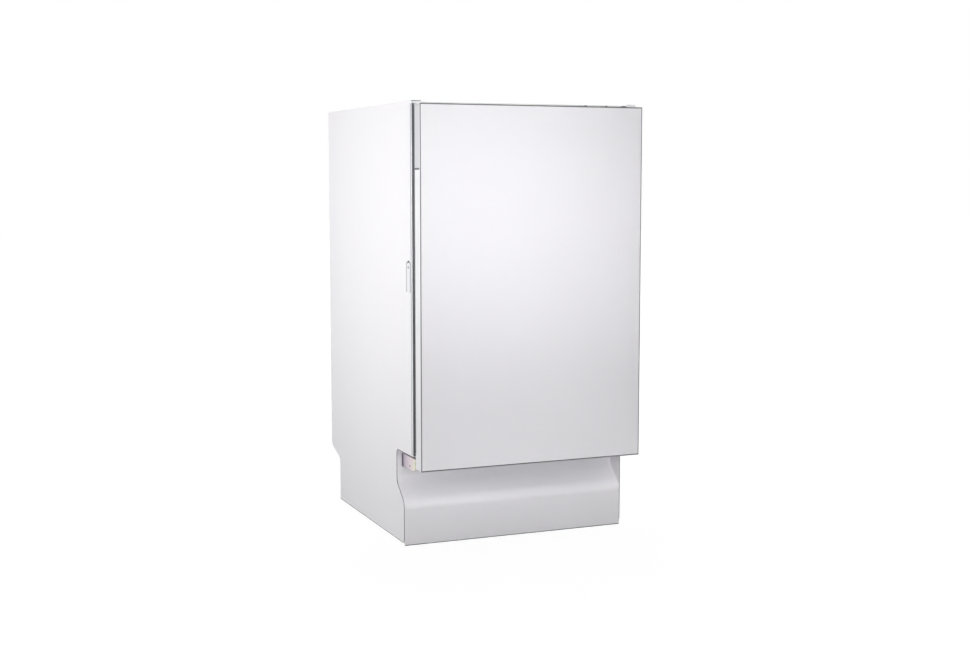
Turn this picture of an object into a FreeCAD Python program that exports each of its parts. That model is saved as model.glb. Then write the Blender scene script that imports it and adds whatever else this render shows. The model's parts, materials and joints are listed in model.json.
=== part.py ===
"""A slim built-in dishwasher as a parametric document, in millimetres.

The front faces -Y, +X is to the right of a person facing it, +Z is up, and the origin lies on
the floor under the middle of the cabinet. Every driving size is a cell of the sheet "Sizes".
"""
import FreeCAD, Part
import os
from types import SimpleNamespace

import Sketcher
from FreeCAD import Placement, Rotation, Vector

SIZES = {
    # Outer box and painted sheet
    "overall_width": 448,
    "overall_depth": 550,
    "overall_height": 815,
    "panel_sheet": 1.0,
    "panel_flange": 12,
    "panel_lift": 5,
    # Side outline: distances back from the door front, heights above the floor
    "notch_depth": 124,
    "notch_gap": 9,
    "notch_radius": 10,
    "slope_high": 114,
    "slope_low": 81.5,
    "toe_depth": 84,
    "bend_radius": 14,
    "plinth_bend": 30,
    "rear_step": 60,
    "rear_step_top": 112,
    "rear_step_low": 91,
    "rear_radius": 12,
    # Fixing clip let into each side panel
    "clip_setback": 18.5,
    "clip_low": 471,
    "clip_high": 531,
    "clip_width": 20,
    "clip_sheet": 1.5,
    "clip_lap": 3,
    "clip_hole_radius": 2.5,
    "clip_hole_drop": 12.5,
    "clip_gap": 0.2,
    # Rear panel and front rail
    "rear_rail_depth": 48,
    "rail_drop": 15,
    "rail_recess": 4,
    "rail_depth": 47,
    # Tub
    "tub_sheet": 1.0,
    "tub_side_gap": 19,
    "tub_top_gap": 23,
    "tub_back_gap": 43,
    "tub_radius": 24,
    "tub_flange_drop": 2,
    "tub_floor_height": 150,
    "tub_floor_sheet": 2,
    "sill_height": 13,
    "sill_sheet": 2,
    "ledge_height": 15,
    "ledge_width": 27,
    "mat_thickness": 5,
    "mat_bottom": 300,
    "mat_inset": 33,
    "gasket_width": 6,
    "gasket_offset": 0.4,
    "gasket_gap": 2,
    # Clearances shared by many pieces
    "slide_gap": 0.3,
    "rest_gap": 0.3,
    "running_gap": 0.08,
    # Base
    "base_sheet": 3,
    "base_wall": 2.5,
    "base_wall_height": 64,
    "front_rim_drop": 17,
    "base_rear_gap": 2,
    "plinth_sheet": 1.2,
    "plinth_lift": 0.5,
    "plinth_top": 142,
    "tower_depth": 75,
    "tower_tub_gap": 0.5,
    "post_width": 13,
    "post_depth": 20,
    "post_inset": 45,
    # Adjustable feet
    "foot_radius": 22,
    "foot_pad": 5.7,
    "foot_stem_radius": 6,
    "foot_stem_length": 50,
    "foot_boss_wall": 6,
    "front_foot_inset": 38,
    "front_foot_gap": 26.8,
    "rear_foot_inset": 45.5,
    # Hinges
    "hinge_setback": 10,
    "hinge_rise": 3,
    "hinge_sheet": 3,
    "hinge_inset": 11.8,
    "hinge_plate_gap": 0.8,
    "hinge_plate_height": 25,
    "hinge_plate_drop": 15,
    "hinge_plate_nose": 10,
    "hinge_plate_length": 152,
    "hinge_plate_slant_run": 36,
    "hinge_plate_slant_rise": 10,
    "hinge_slot_gap": 2,
    "hinge_pin_radius": 4,
    "hinge_head_radius": 6.5,
    "hinge_head_height": 1.7,
    "hinge_arm_foot": 12,
    "hinge_arm_heel": 7,
    "hinge_arm_tail": 10,
    "hinge_arm_rise": 173,
    # Door
    "door_side_gap": 4,
    "door_bottom": 154,
    "door_top_gap": 6,
    "door_gap": 4,
    "door_sheet": 1.0,
    "door_return": 5,
    "door_thickness": 32,
    "edge_width": 12,
    "edge_wall": 1.2,
    "edge_cut_gap": 13,
    "liner_sheet": 1.0,
    "liner_pan_inset": 42,
    "liner_pan_low": 205,
    "liner_pan_high": 690,
    "liner_pan_rise": 14,
    "console_height": 111.5,
    "console_wall": 2.5,
    "fascia_sheet": 3,
    # Buttons and display on the top edge of the door
    "button_width": 16,
    "button_depth": 10,
    "button_setback": 18,
    "button_rise": 1.2,
    "button_lip": 2,
    "button_lip_height": 2.5,
    "button_first_inset": 116,
    "button_second_inset": 73,
    "button_third_inset": 32,
    "display_width": 85,
    "display_depth": 14,
    "display_offset": 12,
    "display_sheet": 1.4,
    # Latch
    "strike_width": 24,
    "strike_sheet": 3,
    "strike_reach": 18.5,
    "strike_plate": 2,
    "strike_plate_width": 40,
    "strike_plate_height": 12,
    "strike_window_width": 12,
    "strike_window_depth": 7,
    "strike_window_inset": 4.5,
    "latch_width": 60,
    "latch_depth": 24,
    "latch_drop": 27.5,
    "latch_roof": 1.2,
    "latch_slot_gap": 2,
    "latch_cavity_width": 16,
    "latch_cavity_drop": 20.5,
    "latch_cavity_wall": 2,
    "pawl_width": 10,
    "pawl_pivot_drop": 11.5,
    "pawl_pivot_reach": 17.5,
    "pawl_pin_radius": 2,
    "pawl_thickness": 4,
    "pawl_heel_radius": 3.5,
    "pawl_tooth": 2,
    # Detergent and rinse-aid dispenser
    "dispenser_width": 198,
    "dispenser_height": 120,
    "dispenser_centre": 450,
    "dispenser_offset": 27,
    "bezel_rise": 3,
    "bezel_lap": 6,
    "dispenser_depth": 30,
    "cup_width": 55,
    "cup_height": 88,
    "cup_depth": 26,
    "cup_offset": 5.5,
    "lid_lap": 4,
    "lid_thickness": 2.5,
    "lid_travel": 58,
    "guide_height": 4,
    "guide_rise": 4.2,
    "rinse_offset": 65,
    "rinse_radius": 21,
    "rinse_height": 4,
    "rinse_neck_radius": 15,
    "rinse_neck_length": 9,
    "rinse_grip_width": 7,
    "rinse_grip_height": 3,
    # Lower spray arm and its hub
    "lower_arm_shift": 18,
    "lower_arm_radius": 168,
    "lower_arm_height": 18,
    "arm_thickness": 14,
    "arm_waist": 44,
    "arm_tip": 26,
    "arm_tip_radius": 12,
    "hub_radius": 11,
    "hub_collar": 5,
    "hub_cap": 5.7,
    # Filter, salt cap and float in the tub floor
    "filter_offset": 62,
    "filter_setback": 148,
    "filter_radius": 40,
    "filter_drop": 48,
    "filter_rim": 6,
    "filter_rim_height": 3,
    "filter_grip_length": 60,
    "filter_grip_width": 8,
    "filter_grip_height": 7,
    "filter_plate_half": 66,
    "filter_plate_sheet": 1.5,
    "salt_inset": 105,
    "salt_setback": 135,
    "salt_neck_radius": 30,
    "salt_bore_radius": 26,
    "salt_plug_length": 18,
    "salt_cap_radius": 34,
    "salt_cap_height": 7,
    "salt_grip_width": 9,
    "salt_grip_height": 5,
    "float_inset": 50,
    "float_setback": 106,
    "float_radius": 16,
    "float_height": 11,
    "float_stem_radius": 5,
    "float_stem_length": 30,
    # Machine room
    "sump_depth": 80,
    "sump_wall": 2.5,
    "sump_left": 117,
    "sump_right": 52,
    "sump_front": 55,
    "sump_rear": 160,
    "pump_side_gap": 23,
    "pump_softener_gap": 7,
    "pump_drop": 56,
    "motor_radius": 40,
    "volute_radius": 46,
    "volute_length": 33,
    "volute_wall": 5,
    "volute_cavity": 36,
    "pump_port_length": 7,
    "pump_port_radius": 16,
    "pump_port_bore": 12,
    "impeller_radius": 33,
    "impeller_gap": 3,
    "shaft_radius": 5,
    "shaft_length": 81,
    "drain_pump_drop": 52,
    "drain_pump_radius": 26,
    "drain_pump_length": 50,
    "drain_neck_radius": 14,
    "drain_neck_length": 11,
    "softener_side_gap": 23,
    "softener_sump_gap": 9,
    "softener_front": 34,
    "softener_rear": 40,
    "softener_bottom": 40,
    "softener_neck": 10,
    # Connections on the rear of the base
    "inlet_inset": 96,
    "inlet_height": 52,
    "inlet_block_width": 45,
    "inlet_block_depth": 45,
    "inlet_block_height": 44,
    "inlet_radius": 13.2,
    "inlet_length": 20,
    "inlet_bore": 8,
    "inlet_collar": 2,
    "drain_inset": 113,
    "drain_height": 45,
    "drain_radius": 10,
    "drain_bore": 8,
    "drain_inside": 25,
    "drain_outside": 27,
    "drain_collar": 2,
    "drain_flange": 6,
    "drain_flange_sheet": 3,
    "gland_inset": 48,
    "gland_height": 48,
    "gland_radius": 9,
    "gland_bore": 4.5,
    "gland_inside": 8,
    "gland_flange": 4,
    "gland_flange_sheet": 3,
    "port_gap": 0.3,
    # Racks
    "wire_radius": 2,
    "weld": 0.15,
    "lower_rack_side_gap": 17,
    "rack_front_gap": 38,
    "rack_back_gap": 27,
    "lower_rack_rise": 32,
    "lower_rack_height": 131,
    "long_wire_inset": 21,
    "cross_wire_inset": 25,
    "lower_long_count": 8,
    "lower_cross_count": 8,
    "tine_radius": 1.75,
    "tine_height": 62,
    "tine_inset": 34,
    "tine_count": 10,
    "fold_rod_radius": 2,
    "fold_clip_width": 9,
    "fold_clip_depth": 8,
    "fold_clip_roof": 2,
    "wheel_radius": 17,
    "wheel_width": 10,
    "wheel_inset": 12,
    "axle_radius": 4,
    "axle_overhang": 2.5,
    "wheel_bracket_width": 12,
    "wheel_bracket_depth": 20,
    "wheel_bracket_drop": 6,
    "front_wheel_inset": 75,
    "rear_wheel_inset": 53,
    # Cutlery basket
    "cutlery_width": 80,
    "cutlery_length": 212,
    "cutlery_height": 112,
    "cutlery_wall": 2,
    "cutlery_cells": 5,
    "cutlery_side_gap": 10,
    "cutlery_front_gap": 15,
    # Upper rack, rails and carriers
    "upper_rack_side_gap": 27,
    "upper_rack_height": 545,
    "upper_rack_depth": 105,
    "upper_long_count": 8,
    "upper_cross_count": 7,
    "rail_height_above_rack": 66,
    "rail_height": 26,
    "rail_width": 14,
    "rail_wall": 1.5,
    "rail_front_gap": 38,
    "rail_back_gap": 37,
    "carrier_wall": 2.7,
    "carrier_lip": 3,
    "carrier_lip_inset": 2,
    "carrier_length": 30,
    "carrier_first": 43,
    "carrier_second": 203,
    "runner_length": 16,
    "runner_first_inset": 160,
    "runner_second_inset": 30,
    "runner_end_gap": 0.7,
    # Upper spray arm and its feed
    "upper_arm_radius": 160,
    "upper_hub_radius": 9,
    "upper_hub_drop": 8,
    "manifold_half": 10,
    "manifold_height": 16,
    "manifold_front": 14,
    "manifold_back_gap": 2,
    "feed_half": 15,
    "feed_depth": 16,
    "ceiling_feed_half": 10,
    "ceiling_feed_depth": 16,
    "ceiling_nozzle_radius": 45,
    "ceiling_nozzle_height": 7,
    # Folding cup shelf
    "shelf_reach": 68,
    "shelf_rod_radius": 2,
    "shelf_wire_radius": 1.5,
    "shelf_height": 107,
    "shelf_inset": 8,
    "shelf_clip_depth": 10,
    "shelf_clip_half": 6,
    "shelf_clip_reach": 5,
}


class Size:
    """A length together with the sheet formula that gives it."""

    def __init__(self, value, text):
        self.value = value
        self.text = text

    @staticmethod
    def of(item):
        """Takes a plain number as a size."""
        if isinstance(item, Size):
            return item
        return Size(item, repr(item))

    def _join(self, sign, other, value):
        return Size(value, f"({self.text} {sign} {other.text})")

    def __add__(self, other):
        other = Size.of(other)
        return self._join("+", other, self.value + other.value)

    def __sub__(self, other):
        other = Size.of(other)
        return self._join("-", other, self.value - other.value)

    def __mul__(self, other):
        other = Size.of(other)
        return self._join("*", other, self.value * other.value)

    def __truediv__(self, other):
        other = Size.of(other)
        return self._join("/", other, self.value / other.value)

    def __radd__(self, other):
        return Size.of(other) + self

    def __rsub__(self, other):
        return Size.of(other) - self

    def __rmul__(self, other):
        return Size.of(other) * self

    def __neg__(self):
        return 0 - self


doc = FreeCAD.newDocument("dishwasher")
nodes = []


def read_sizes():
    """Fills the sheet and returns one Size for each of its cells."""
    sheet = doc.addObject("Spreadsheet::Sheet", "Sizes")
    for row, (alias, value) in enumerate(SIZES.items(), start=1):
        sheet.set(f"A{row}", alias)
        sheet.set(f"B{row}", str(value))
        sheet.setAlias(f"B{row}", alias)
    doc.recompute()
    return SimpleNamespace(**{alias: Size(sheet.get(alias), f"Sizes.{alias}") for alias in SIZES})


size = read_sizes()

SIDES = {"left": -1, "right": 1}
AXES = {
    "x": Rotation(Vector(0, 1, 0), 90),
    "y": Rotation(Vector(1, 0, 0), -90),
    "z": Rotation(),
}
PLANES = {"x": "YZ_Plane", "y": "XZ_Plane", "z": "XY_Plane"}


# Planes that many pieces share
FRONT = -size.overall_depth / 2
BACK = size.overall_depth / 2
TOP = size.overall_height
SIDE = size.overall_width / 2
SKIN = SIDE - size.panel_sheet
DOOR_BACK = FRONT + size.door_thickness
BODY_FRONT = DOOR_BACK + size.door_gap
NOTCH = FRONT + size.notch_depth
TOE = FRONT + size.toe_depth
REAR_FOOT = BACK - size.rear_step

TUB_FRONT = BODY_FRONT + size.panel_sheet
TUB_BACK = BACK - size.tub_back_gap
TUB_DEPTH = TUB_BACK - TUB_FRONT
TUB_MIDDLE = (TUB_FRONT + TUB_BACK) / 2
TUB_OUT = SKIN - size.tub_side_gap
TUB_IN = TUB_OUT - size.tub_sheet
TUB_TOP = TOP - size.tub_top_gap
CEILING = TUB_TOP - size.tub_sheet
FLOOR = size.tub_floor_height
UNDER_FLOOR = FLOOR - size.tub_floor_sheet

BASE_FRONT = TOE + size.plinth_sheet
BASE_BACK = REAR_FOOT - size.base_rear_gap
BASE_LOW = size.panel_lift + size.panel_sheet
BASE_FLOOR = BASE_LOW + size.base_sheet
BASE_RIM = BASE_FLOOR + size.base_wall_height

HINGE_Y = BODY_FRONT + size.hinge_setback
HINGE_Z = size.door_bottom + size.hinge_rise
HINGE_LOW = HINGE_Z - size.hinge_plate_drop
HINGE_HIGH = HINGE_LOW + size.hinge_plate_height
HINGE_NOSE = HINGE_Y - size.hinge_plate_nose
NOTCH_TOP = HINGE_HIGH + size.notch_gap
HINGE_OUT = SIDE - size.hinge_inset
HINGE_IN = HINGE_OUT - size.hinge_sheet
ARM_IN = HINGE_OUT + size.hinge_plate_gap
ARM_OUT = ARM_IN + size.hinge_sheet

DOOR_SIDE = SIDE - size.door_side_gap
DOOR_TOP = TOP - size.door_top_gap
LINER = DOOR_BACK - size.liner_sheet
RETURN = FRONT + size.door_return
PAN = DOOR_BACK + size.liner_pan_rise
FASCIA_LOW = DOOR_TOP - size.fascia_sheet
CONSOLE_LOW = FASCIA_LOW - size.console_height
EDGE_CUT = HINGE_Z + size.hinge_arm_foot + size.edge_cut_gap

WHEEL_Z = FLOOR + size.ledge_height + size.rest_gap + size.wheel_radius
LAP = size.wire_radius * 2 - size.weld
RACK_FRONT = TUB_FRONT + size.rack_front_gap
RACK_BACK = TUB_BACK - size.rack_back_gap
LOWER_HALF = TUB_IN - size.lower_rack_side_gap
LOWER_FLOOR = WHEEL_Z + size.lower_rack_rise
UPPER_HALF = TUB_IN - size.upper_rack_side_gap
UPPER_FLOOR = size.upper_rack_height
RAIL_Z = UPPER_FLOOR + size.rail_height_above_rack
RAIL_OUT = TUB_IN - size.carrier_wall - size.slide_gap
RAIL_IN = RAIL_OUT - size.rail_width


def bind(item, prop, length):
    """Ties one property of an object to the sheet."""
    item.setExpression(prop, Size.of(length).text)


def place(item, point):
    """Ties an object's position to the sheet."""
    for axis, length in zip("xyz", point):
        bind(item, f"Placement.Base.{axis}", length)


def box(x, y, z):
    """A block between three pairs of planes."""
    item = doc.addObject("Part::Box", "block")
    for prop, (low, high) in zip(("Length", "Width", "Height"), (x, y, z)):
        bind(item, prop, high - low)
    place(item, [low for low, high in (x, y, z)])
    return item


def rod(axis, start, radius, length):
    """A cylinder that runs from a point in the positive direction of an axis."""
    item = doc.addObject("Part::Cylinder", "rod")
    item.Placement = Placement(Vector(), AXES[axis])
    bind(item, "Radius", radius)
    bind(item, "Height", length)
    place(item, start)
    return item


def fuse(*items):
    """Joins several solids into one."""
    item = doc.addObject("Part::MultiFuse", "joined")
    item.Shapes = list(items)
    item.Refine = True
    return item


def cut(base, *tools):
    """Takes one or more tools away from a solid."""
    item = doc.addObject("Part::Cut", "cut")
    item.Base = base
    item.Tool = tools[0] if len(tools) == 1 else fuse(*tools)
    item.Refine = True
    return item


def group(items):
    """Keeps several solids together as one sub-part."""
    item = doc.addObject("Part::Compound", "set")
    item.Links = list(items)
    return item


def node(label, item):
    """Names a finished sub-part."""
    item.Label = label
    nodes.append(item)
    return item


def mirrored(side, inner, outer):
    """The X span between two distances from the middle, on the left or on the right."""
    return (inner, outer) if side > 0 else (-outer, -inner)


def centred(middle, width):
    """A span of some width about a middle."""
    return (middle - width / 2, middle + width / 2)


def spread(low, high, count):
    """Even places from low to high, both ends included."""
    step = (high - low) / (count - 1)
    return [low + step * index for index in range(int(count.value))]


def rectangle(across, up):
    """The four corners of a rectangle in a sketch."""
    return [(across[0], up[0]), (across[1], up[0]), (across[1], up[1]), (across[0], up[1])]


def new_body(axis, start):
    """An empty body whose sketch plane is square to an axis, at a distance along it."""
    body = doc.addObject("PartDesign::Body", "body")
    bind(body, f"Placement.Base.{axis}", start)
    return body


def sketch(body, axis, outline):
    """A closed outline of straight lines with every corner tied to the sheet."""
    drawing = body.newObject("Sketcher::SketchObject", "outline")
    plane = next(item for item in body.Origin.OriginFeatures if item.Role == PLANES[axis])
    drawing.AttachmentSupport = [(plane, "")]
    drawing.MapMode = "FlatFace"
    corners = [Vector(across.value, up.value, 0) for across, up in outline]
    count = len(corners)
    for index in range(count):
        drawing.addGeometry(Part.LineSegment(corners[index], corners[(index + 1) % count]), False)
    for index in range(count):
        drawing.addConstraint(Sketcher.Constraint("Coincident", index, 2, (index + 1) % count, 1))
    for index, corner in enumerate(outline):
        for kind, length in zip(("DistanceX", "DistanceY"), corner):
            number = drawing.addConstraint(Sketcher.Constraint(kind, -1, 1, index, 1, length.value))
            bind(drawing, f"Constraints[{number}]", length)
    return drawing


def pad(body, axis, outline, depth, backwards=False):
    """Raises an outline along an axis, or backwards along it."""
    feature = body.newObject("PartDesign::Pad", "pad")
    feature.Profile = sketch(body, axis, outline)
    feature.Reversed = backwards != (axis == "y")
    bind(feature, "Length", depth)
    return feature


def round_corners(body, axis, corners, radius):
    """Rounds the edges that run along an axis through the given corners of an outline."""
    doc.recompute()
    base = body.Tip
    across, up = [letter for letter in "xyz" if letter != axis]
    names = []
    for number, edge in enumerate(base.Shape.Edges, start=1):
        ends = [vertex.Point for vertex in edge.Vertexes]
        if len(ends) < 2:
            continue
        for corner in corners:
            gaps = [abs(getattr(end, letter) - length.value)
                    for end in ends for letter, length in zip((across, up), corner)]
            if max(gaps) < 1e-4:
                names.append(f"Edge{number}")
    if len(names) < len(corners):
        raise RuntimeError(f"{body.Name}: found {len(names)} of {len(corners)} corners to round")
    feature = body.newObject("PartDesign::Fillet", "rounding")
    feature.Base = (base, names)
    bind(feature, "Radius", radius)
    return feature


def turned(axis, origin, outline):
    """A solid of revolution about an axis; the outline gives radius and distance along it."""
    body = doc.addObject("PartDesign::Body", "turned")
    feature = body.newObject("PartDesign::Revolution", "revolution")
    drawing = sketch(body, "y", outline)
    feature.Profile = drawing
    feature.ReferenceAxis = (drawing, ["V_Axis"])
    feature.Angle = 360
    body.Tip = feature
    body.Placement = Placement(Vector(), AXES[axis])
    place(body, origin)
    return body


def upright_slot(x, middle, low, high, radius):
    """A tall slot-shaped block with round ends, seen from the side."""
    thickness = x[1] - x[0]
    return fuse(
        box(x, (middle - radius, middle + radius), (low + radius, high - radius)),
        rod("x", (x[0], middle, low + radius), radius, thickness),
        rod("x", (x[0], middle, high - radius), radius, thickness),
    )


# Cabinet
def side_panel(label, side):
    """A painted side sheet with folded front, rear and bottom flanges and a slot for its clip.

    The left sheet is cut back in a slope over the kick panel; the right one runs straight up.
    """
    if side < 0:
        bends = [(TOE, size.slope_low), (NOTCH, size.slope_high)]
        notch_corner = (NOTCH, NOTCH_TOP)
    else:
        bends = []
        notch_corner = (TOE, NOTCH_TOP)
    rear_bends = [(BACK, size.rear_step_top), (REAR_FOOT, size.rear_step_low)]
    outline = [
        (BODY_FRONT, TOP), (BACK, TOP), *rear_bends, (REAR_FOOT, size.panel_lift),
        (TOE, size.panel_lift), *bends, notch_corner, (BODY_FRONT, NOTCH_TOP),
    ]
    body = new_body("x", SIDE * side)
    inwards = side > 0
    pad(body, "x", outline, size.panel_sheet, inwards)
    round_corners(body, "x", [notch_corner], size.notch_radius)
    if bends:
        round_corners(body, "x", bends, size.bend_radius)
    round_corners(body, "x", rear_bends, size.rear_radius)
    rear_start = size.rear_step_top + size.rear_radius
    folds = [
        ((BODY_FRONT, BODY_FRONT + size.panel_sheet), (NOTCH_TOP, TOP)),
        ((BACK - size.panel_sheet, BACK), (rear_start, TOP)),
        ((BASE_FRONT, REAR_FOOT), (size.panel_lift, size.panel_lift + size.panel_sheet)),
    ]
    for across, up in folds:
        pad(body, "x", rectangle(across, up), size.panel_flange, inwards)
    slot = upright_slot(
        mirrored(side, SKIN - size.clip_sheet, SIDE + size.clip_sheet), BODY_FRONT + size.clip_setback,
        size.clip_low - size.clip_gap, size.clip_high + size.clip_gap,
        size.clip_width / 2 + size.clip_gap)
    return node(label, cut(body, slot))


def side_clip(side):
    """A fixing clip that fills the slot in a side panel, flush with its outer face."""
    middle = BODY_FRONT + size.clip_setback
    radius = size.clip_width / 2
    plate = upright_slot(
        mirrored(side, SKIN - size.clip_sheet, SKIN), middle,
        size.clip_low - size.clip_lap, size.clip_high + size.clip_lap, radius + size.clip_lap)
    face = upright_slot(
        mirrored(side, SKIN - size.clip_sheet, SIDE), middle, size.clip_low, size.clip_high, radius)
    depth = size.panel_sheet + size.clip_sheet
    start = mirrored(side, SKIN - size.clip_sheet, SIDE)[0]
    hole = rod("x", (start, middle, size.clip_high - size.clip_hole_drop), size.clip_hole_radius, depth)
    return cut(fuse(plate, face), hole)


def back_panel():
    """The rear sheet, folded forward at the top into a cross rail."""
    inner = BACK - size.panel_sheet * 2
    sheet_y = (inner, BACK - size.panel_sheet)
    low = size.rear_step_top + size.rear_radius
    wall = box((-SKIN, SKIN), sheet_y, (low, TOP))
    fold = box((-SKIN, SKIN), (inner - size.rear_rail_depth, inner), (TOP - size.panel_sheet, TOP))
    return node("back_panel", fuse(wall, fold))


def top_front_rail():
    """A channel across the top front that ties the side panels and the tub together."""
    front = TUB_FRONT + size.tub_sheet
    back = front + size.rail_depth
    high = TOP - size.rail_recess
    low = TOP - size.rail_drop
    channel = box((-SKIN, SKIN), (front, back), (low, high))
    hollow = box(
        (-SKIN, SKIN), (front + size.panel_sheet, back - size.panel_sheet), (low, high - size.panel_sheet))
    return node("top_front_rail", cut(channel, hollow))


# Tub
def arched_block(start, depth, half, low, crown, radius):
    """A block with its two upper edges rounded, along the depth of the machine."""
    body = new_body("y", start)
    pad(body, "y", rectangle((-half, half), (low, crown)), depth)
    round_corners(body, "y", [(-half, crown), (half, crown)], radius)
    return body


def tub_wrapper():
    """The steel sides and ceiling of the tub with the flange that faces the door."""
    outer = arched_block(TUB_FRONT, TUB_DEPTH, TUB_OUT, FLOOR, TUB_TOP, size.tub_radius)
    flange = box((-SKIN, SKIN), (TUB_FRONT, TUB_FRONT + size.tub_sheet),
                 (NOTCH_TOP, TOP - size.tub_flange_drop))
    inside = arched_block(TUB_FRONT, TUB_DEPTH, TUB_IN, UNDER_FLOOR, CEILING,
                          size.tub_radius - size.tub_sheet)
    return node("tub_wrapper", cut(fuse(outer, flange), inside))


def tub_back():
    """The rear wall of the tub."""
    wall = arched_block(TUB_BACK, size.tub_sheet, TUB_OUT, FLOOR, TUB_TOP, size.tub_radius)
    return node("tub_back", wall)


FILTER = (size.filter_offset, TUB_FRONT + size.filter_setback)
SALT = (size.salt_inset - SKIN, TUB_FRONT + size.salt_setback)
FLOAT = (TUB_IN - size.float_inset, TUB_FRONT + size.float_setback)
LOWER_ARM_Y = TUB_MIDDLE + size.lower_arm_shift
UPPER_ARM_Y = TUB_MIDDLE


def floor_hole(centre, radius):
    """A round tool through the tub floor."""
    return rod("z", (*centre, UNDER_FLOOR), radius, size.tub_floor_sheet)


def tub_floor():
    """The tub floor with its front sill, the wheel ledges and the openings in it."""
    plate = box((-TUB_OUT, TUB_OUT), (TUB_FRONT, TUB_BACK + size.tub_sheet), (UNDER_FLOOR, FLOOR))
    sill = box((-TUB_IN, TUB_IN), (TUB_FRONT, TUB_FRONT + size.sill_sheet), (FLOOR, FLOOR + size.sill_height))
    ledges = [
        box(mirrored(side, TUB_IN - size.ledge_width, TUB_IN), (TUB_FRONT + size.sill_sheet, TUB_BACK),
            (FLOOR, FLOOR + size.ledge_height))
        for side in SIDES.values()]
    holes = [
        floor_hole(FILTER, size.filter_radius + size.slide_gap),
        floor_hole(SALT, size.salt_neck_radius + size.slide_gap),
        floor_hole(FLOAT, size.float_stem_radius + size.slide_gap),
    ]
    return node("tub_floor", cut(fuse(plate, sill, *ledges), *holes))


def arch(label, start, depth, inner, thickness, low, crown, radius):
    """A strip bent over the tub: two uprights joined by a top run with round corners."""
    outer = arched_block(start, depth, inner + thickness, low, crown + thickness, radius + thickness)
    inside = arched_block(start, depth, inner, low - thickness, crown, radius)
    return node(label, cut(outer, inside))


def damping_mat():
    """The sound-damping mat laid over the outside of the tub."""
    start = TUB_FRONT + size.mat_inset
    depth = TUB_DEPTH - size.mat_inset * 2
    return arch("damping_mat", start, depth, TUB_OUT, size.mat_thickness, size.mat_bottom, TUB_TOP,
                size.tub_radius)


def door_gasket():
    """The rubber seal on the tub flange, just clear of the closed door."""
    start = DOOR_BACK + size.rest_gap
    return arch("door_gasket", start, TUB_FRONT - start, TUB_OUT + size.gasket_offset, size.gasket_width,
                NOTCH_TOP + size.gasket_gap, TUB_TOP + size.gasket_offset, size.tub_radius)


# Base
def plinth_panel():
    """The bent kick panel that follows the side outline, with a slotted ear round each hinge plate."""
    upper = (NOTCH, size.slope_high)
    lower = (TOE, size.slope_low)
    upper_back = (NOTCH + size.plinth_sheet, size.slope_high)
    lower_back = (TOE + size.plinth_sheet, size.slope_low)
    outline = [
        (NOTCH, size.plinth_top), upper, lower, (TOE, size.plinth_lift),
        (TOE + size.plinth_sheet, size.plinth_lift), lower_back, upper_back,
        (NOTCH + size.plinth_sheet, size.plinth_top),
    ]
    body = new_body("x", -SKIN)
    pad(body, "x", outline, SKIN * 2)
    round_corners(body, "x", [upper, lower, upper_back, lower_back], size.plinth_bend)
    thickness = (NOTCH, NOTCH + size.plinth_sheet)
    gap = size.slide_gap
    ears = []
    slots = []
    for side in SIDES.values():
        ears.append(box(mirrored(side, TOWER_IN, SKIN), thickness, (size.plinth_top, NOTCH_TOP)))
        slots.append(box(mirrored(side, HINGE_IN - gap, HINGE_OUT + size.hinge_slot_gap), thickness,
                         (HINGE_LOW - gap, HINGE_HIGH + gap)))
    return node("plinth_panel", cut(fuse(body, *ears), *slots))


BASE_WALL_Y = BASE_BACK - size.base_wall
FEET = {
    "front_foot_left": (size.front_foot_inset - SKIN, BASE_FRONT + size.front_foot_gap),
    "front_foot_right": (SKIN - size.front_foot_inset, BASE_FRONT + size.front_foot_gap),
    "rear_foot": (Size.of(0), BASE_WALL_Y - size.rear_foot_inset),
}
FOOT_BORE = size.foot_stem_radius + size.running_gap
TOWER_IN = TUB_OUT + size.tower_tub_gap
TOWER_FRONT = NOTCH + size.plinth_sheet
INLET = (size.inlet_inset - SKIN, BASE_WALL_Y, size.inlet_height)
DRAIN = (SKIN - size.drain_inset, BASE_WALL_Y, size.drain_height)
GLAND = (SKIN - size.gland_inset, BASE_WALL_Y, size.gland_height)


def wall_hole(centre, radius):
    """A round tool through the rear wall of the base."""
    return rod("y", centre, radius + size.port_gap, size.base_wall)


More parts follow.
